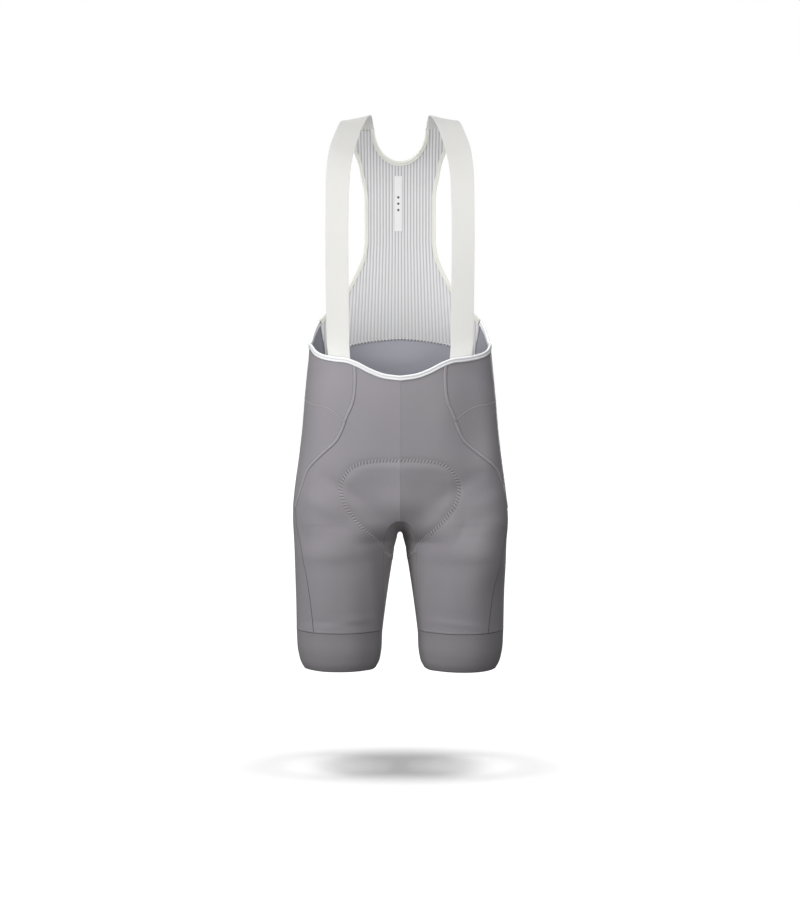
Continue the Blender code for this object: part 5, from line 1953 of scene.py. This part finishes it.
# %% Floor, lights and surrounding
FLOOR_DROP = 1.108
FLOOR_SIZE = 30.0
FLOOR_WHITE, FLOOR_GLOW = (0.9, 0.9, 0.9, 1), 0.40
LIGHTS = {              # place, aim, width and height, power
    "key_light": ((-2.2, -1.62, 0.99), (0, 0, -0.42), (1.6, 2.2), 86),
    "front_light": ((0.42, -3.0, 0.14), (0, 0, -0.5), (1.6, 2.4), 58),
    "top_light": ((0.0, -0.3, 1.5), (0, 0, -0.3), (1.6, 1.2), 33),
    "back_light": ((0.5, 3.0, 0.2), (0, 0, -0.5), (1.8, 2.2), 70),
}
DOME = {                # an even white room for the white pieces
    "front": ((0, -3.2, -0.4), (0, 0, -0.4), (6.0, 5.0), 124),
    "left": ((-2.0, 0, -0.4), (0, 0, -0.4), (4.0, 3.6), 88),
    "right": ((2.0, 0, -0.4), (0, 0, -0.4), (4.0, 3.6), 56),
    "above": ((0, 0, 1.6), (0, 0, -0.4), (4.0, 4.0), 34),
    "below": ((0, -2.2, -2.2), (0, 0, -0.3), (4.0, 3.0), 42),
    "behind": ((0, 3.2, -0.4), (0, 0, -0.4), (6.0, 5.0), 80),
}
SUNS = {"sun_far_left": -14.0, "sun_left": -5.0, "sun_right": 5.0, "sun_far_right": 14.0}
SUN_STRENGTH, SUN_SPREAD = 0.65, 15.0           # the spread and the lean are in degrees
SHADOWLESS = ("key_light", "front", "below")
SURROUNDING_SEEN, SURROUNDING_LIGHT = 1.0, 0.04


def make_area_light(name, place, aim, size, power):
    """A rectangular soft light."""
    data = bpy.data.lights.new(name, "AREA")
    data.shape, data.size, data.size_y, data.energy = "RECTANGLE", *size, power
    light = add_object(name, data)
    look(light, place, aim)
    light.visible_camera = False
    return light


def make_floor():
    """A wide pale floor under the shorts, which throws no light back on them."""
    mesh = bpy.data.meshes.new("floor")
    ring = ((-1, -1), (1, -1), (1, 1), (-1, 1))
    corners = [(x * FLOOR_SIZE / 2, y * FLOOR_SIZE / 2, -FLOOR_DROP) for x, y in ring]
    mesh.from_pydata(corners, [], [(0, 1, 2, 3)])
    finish = Finish("floor_white", 0.9, {
        "Base Color": FLOOR_WHITE, "Specular IOR Level": 0.0,
        "Emission Strength": FLOOR_GLOW, "Emission Color": (1, 1, 1, 1)})
    mesh.materials.append(finish.material)
    floor = add_object("floor", mesh)
    floor.visible_diffuse = floor.visible_glossy = False
    return floor


def make_sun(name, lean):
    """A wide soft sun above, leaning to one side."""
    data = bpy.data.lights.new(name, "SUN")
    data.energy, data.angle = SUN_STRENGTH, math.radians(SUN_SPREAD)
    sun = add_object(name, data)
    sun.rotation_euler = (0, math.radians(lean), 0)
    return sun


def light_list(name, things, state):
    """A list for a light that takes in, or leaves out, some things."""
    listing = bpy.data.collections.new(name)
    for place, thing in enumerate(things):
        listing.objects.link(thing)
        listing.collection_objects[place].light_linking.link_state = state
    return listing


def make_surrounding():
    """White where it is seen, dim where it only lights the cloth."""
    world = bpy.data.worlds.new("surrounding")
    world.use_nodes = True
    bench = Bench(world.node_tree)
    seen = bench.node("ShaderNodeLightPath", output="Is Camera Ray")
    strength = seen * (SURROUNDING_SEEN - SURROUNDING_LIGHT) + SURROUNDING_LIGHT
    background = world.node_tree.nodes["Background"]
    background.inputs["Color"].default_value = (1, 1, 1, 1)
    bench.tree.links.new(strength.socket, background.inputs["Strength"])
    bpy.context.scene.world = world


floor = make_floor()
make_surrounding()
straps = [pieces["strap_left"], pieces["strap_right"]]
whites = straps + [pieces["bib_mesh_back"], pieces["label"], pieces["neck_binding"],
                   pieces["armhole_binding_left"], pieces["armhole_binding_right"]]
whites += [bib_sewing["rib_ends"], bib_sewing["shoulders"]]
whites += [piece for name, piece in tape_stitches.items() if name != "waist"]
all_but_whites = light_list("all_but_whites", [floor] + whites, "EXCLUDE")
only_whites = light_list("only_whites", whites, "INCLUDE")
no_blockers = light_list("no_blockers", [], "INCLUDE")
all_but_straps = light_list("all_but_straps", straps, "EXCLUDE")
for lights, receivers in ((LIGHTS, all_but_whites), (DOME, only_whites)):
    for name, light in lights.items():
        linking = make_area_light(name, *light).light_linking
        linking.receiver_collection = receivers
        linking.blocker_collection = no_blockers if name in SHADOWLESS else all_but_straps
only_floor = light_list("only_floor", [floor], "INCLUDE")
for name, lean in SUNS.items():
    make_sun(name, lean).light_linking.receiver_collection = only_floor
bpy.context.scene.view_settings.view_transform = "Standard"
print("lights:", len(LIGHTS) + len(DOME) + len(SUNS))

# %% [markdown]
# ## What each piece stands for
#
# Every piece rides on the one body of the garment and replaces its plain solid.

# %% Ride and replace
grey_sewing = seam_pieces + [zigzag, bib_sewing.pop("rib_foot_shadow")]
white_sewing = list(bib_sewing.values()) + list(tape_stitches.values())
sewing = grey_sewing + white_sewing
for piece in list(pieces.values()) + sewing:
    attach(piece, "root")
for node, piece in pieces.items():
    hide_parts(node)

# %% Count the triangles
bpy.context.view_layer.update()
triangles = sum(len(p.vertices) - 2 for piece in list(pieces.values()) + sewing
                for p in piece.data.polygons)
print("triangles:", triangles)
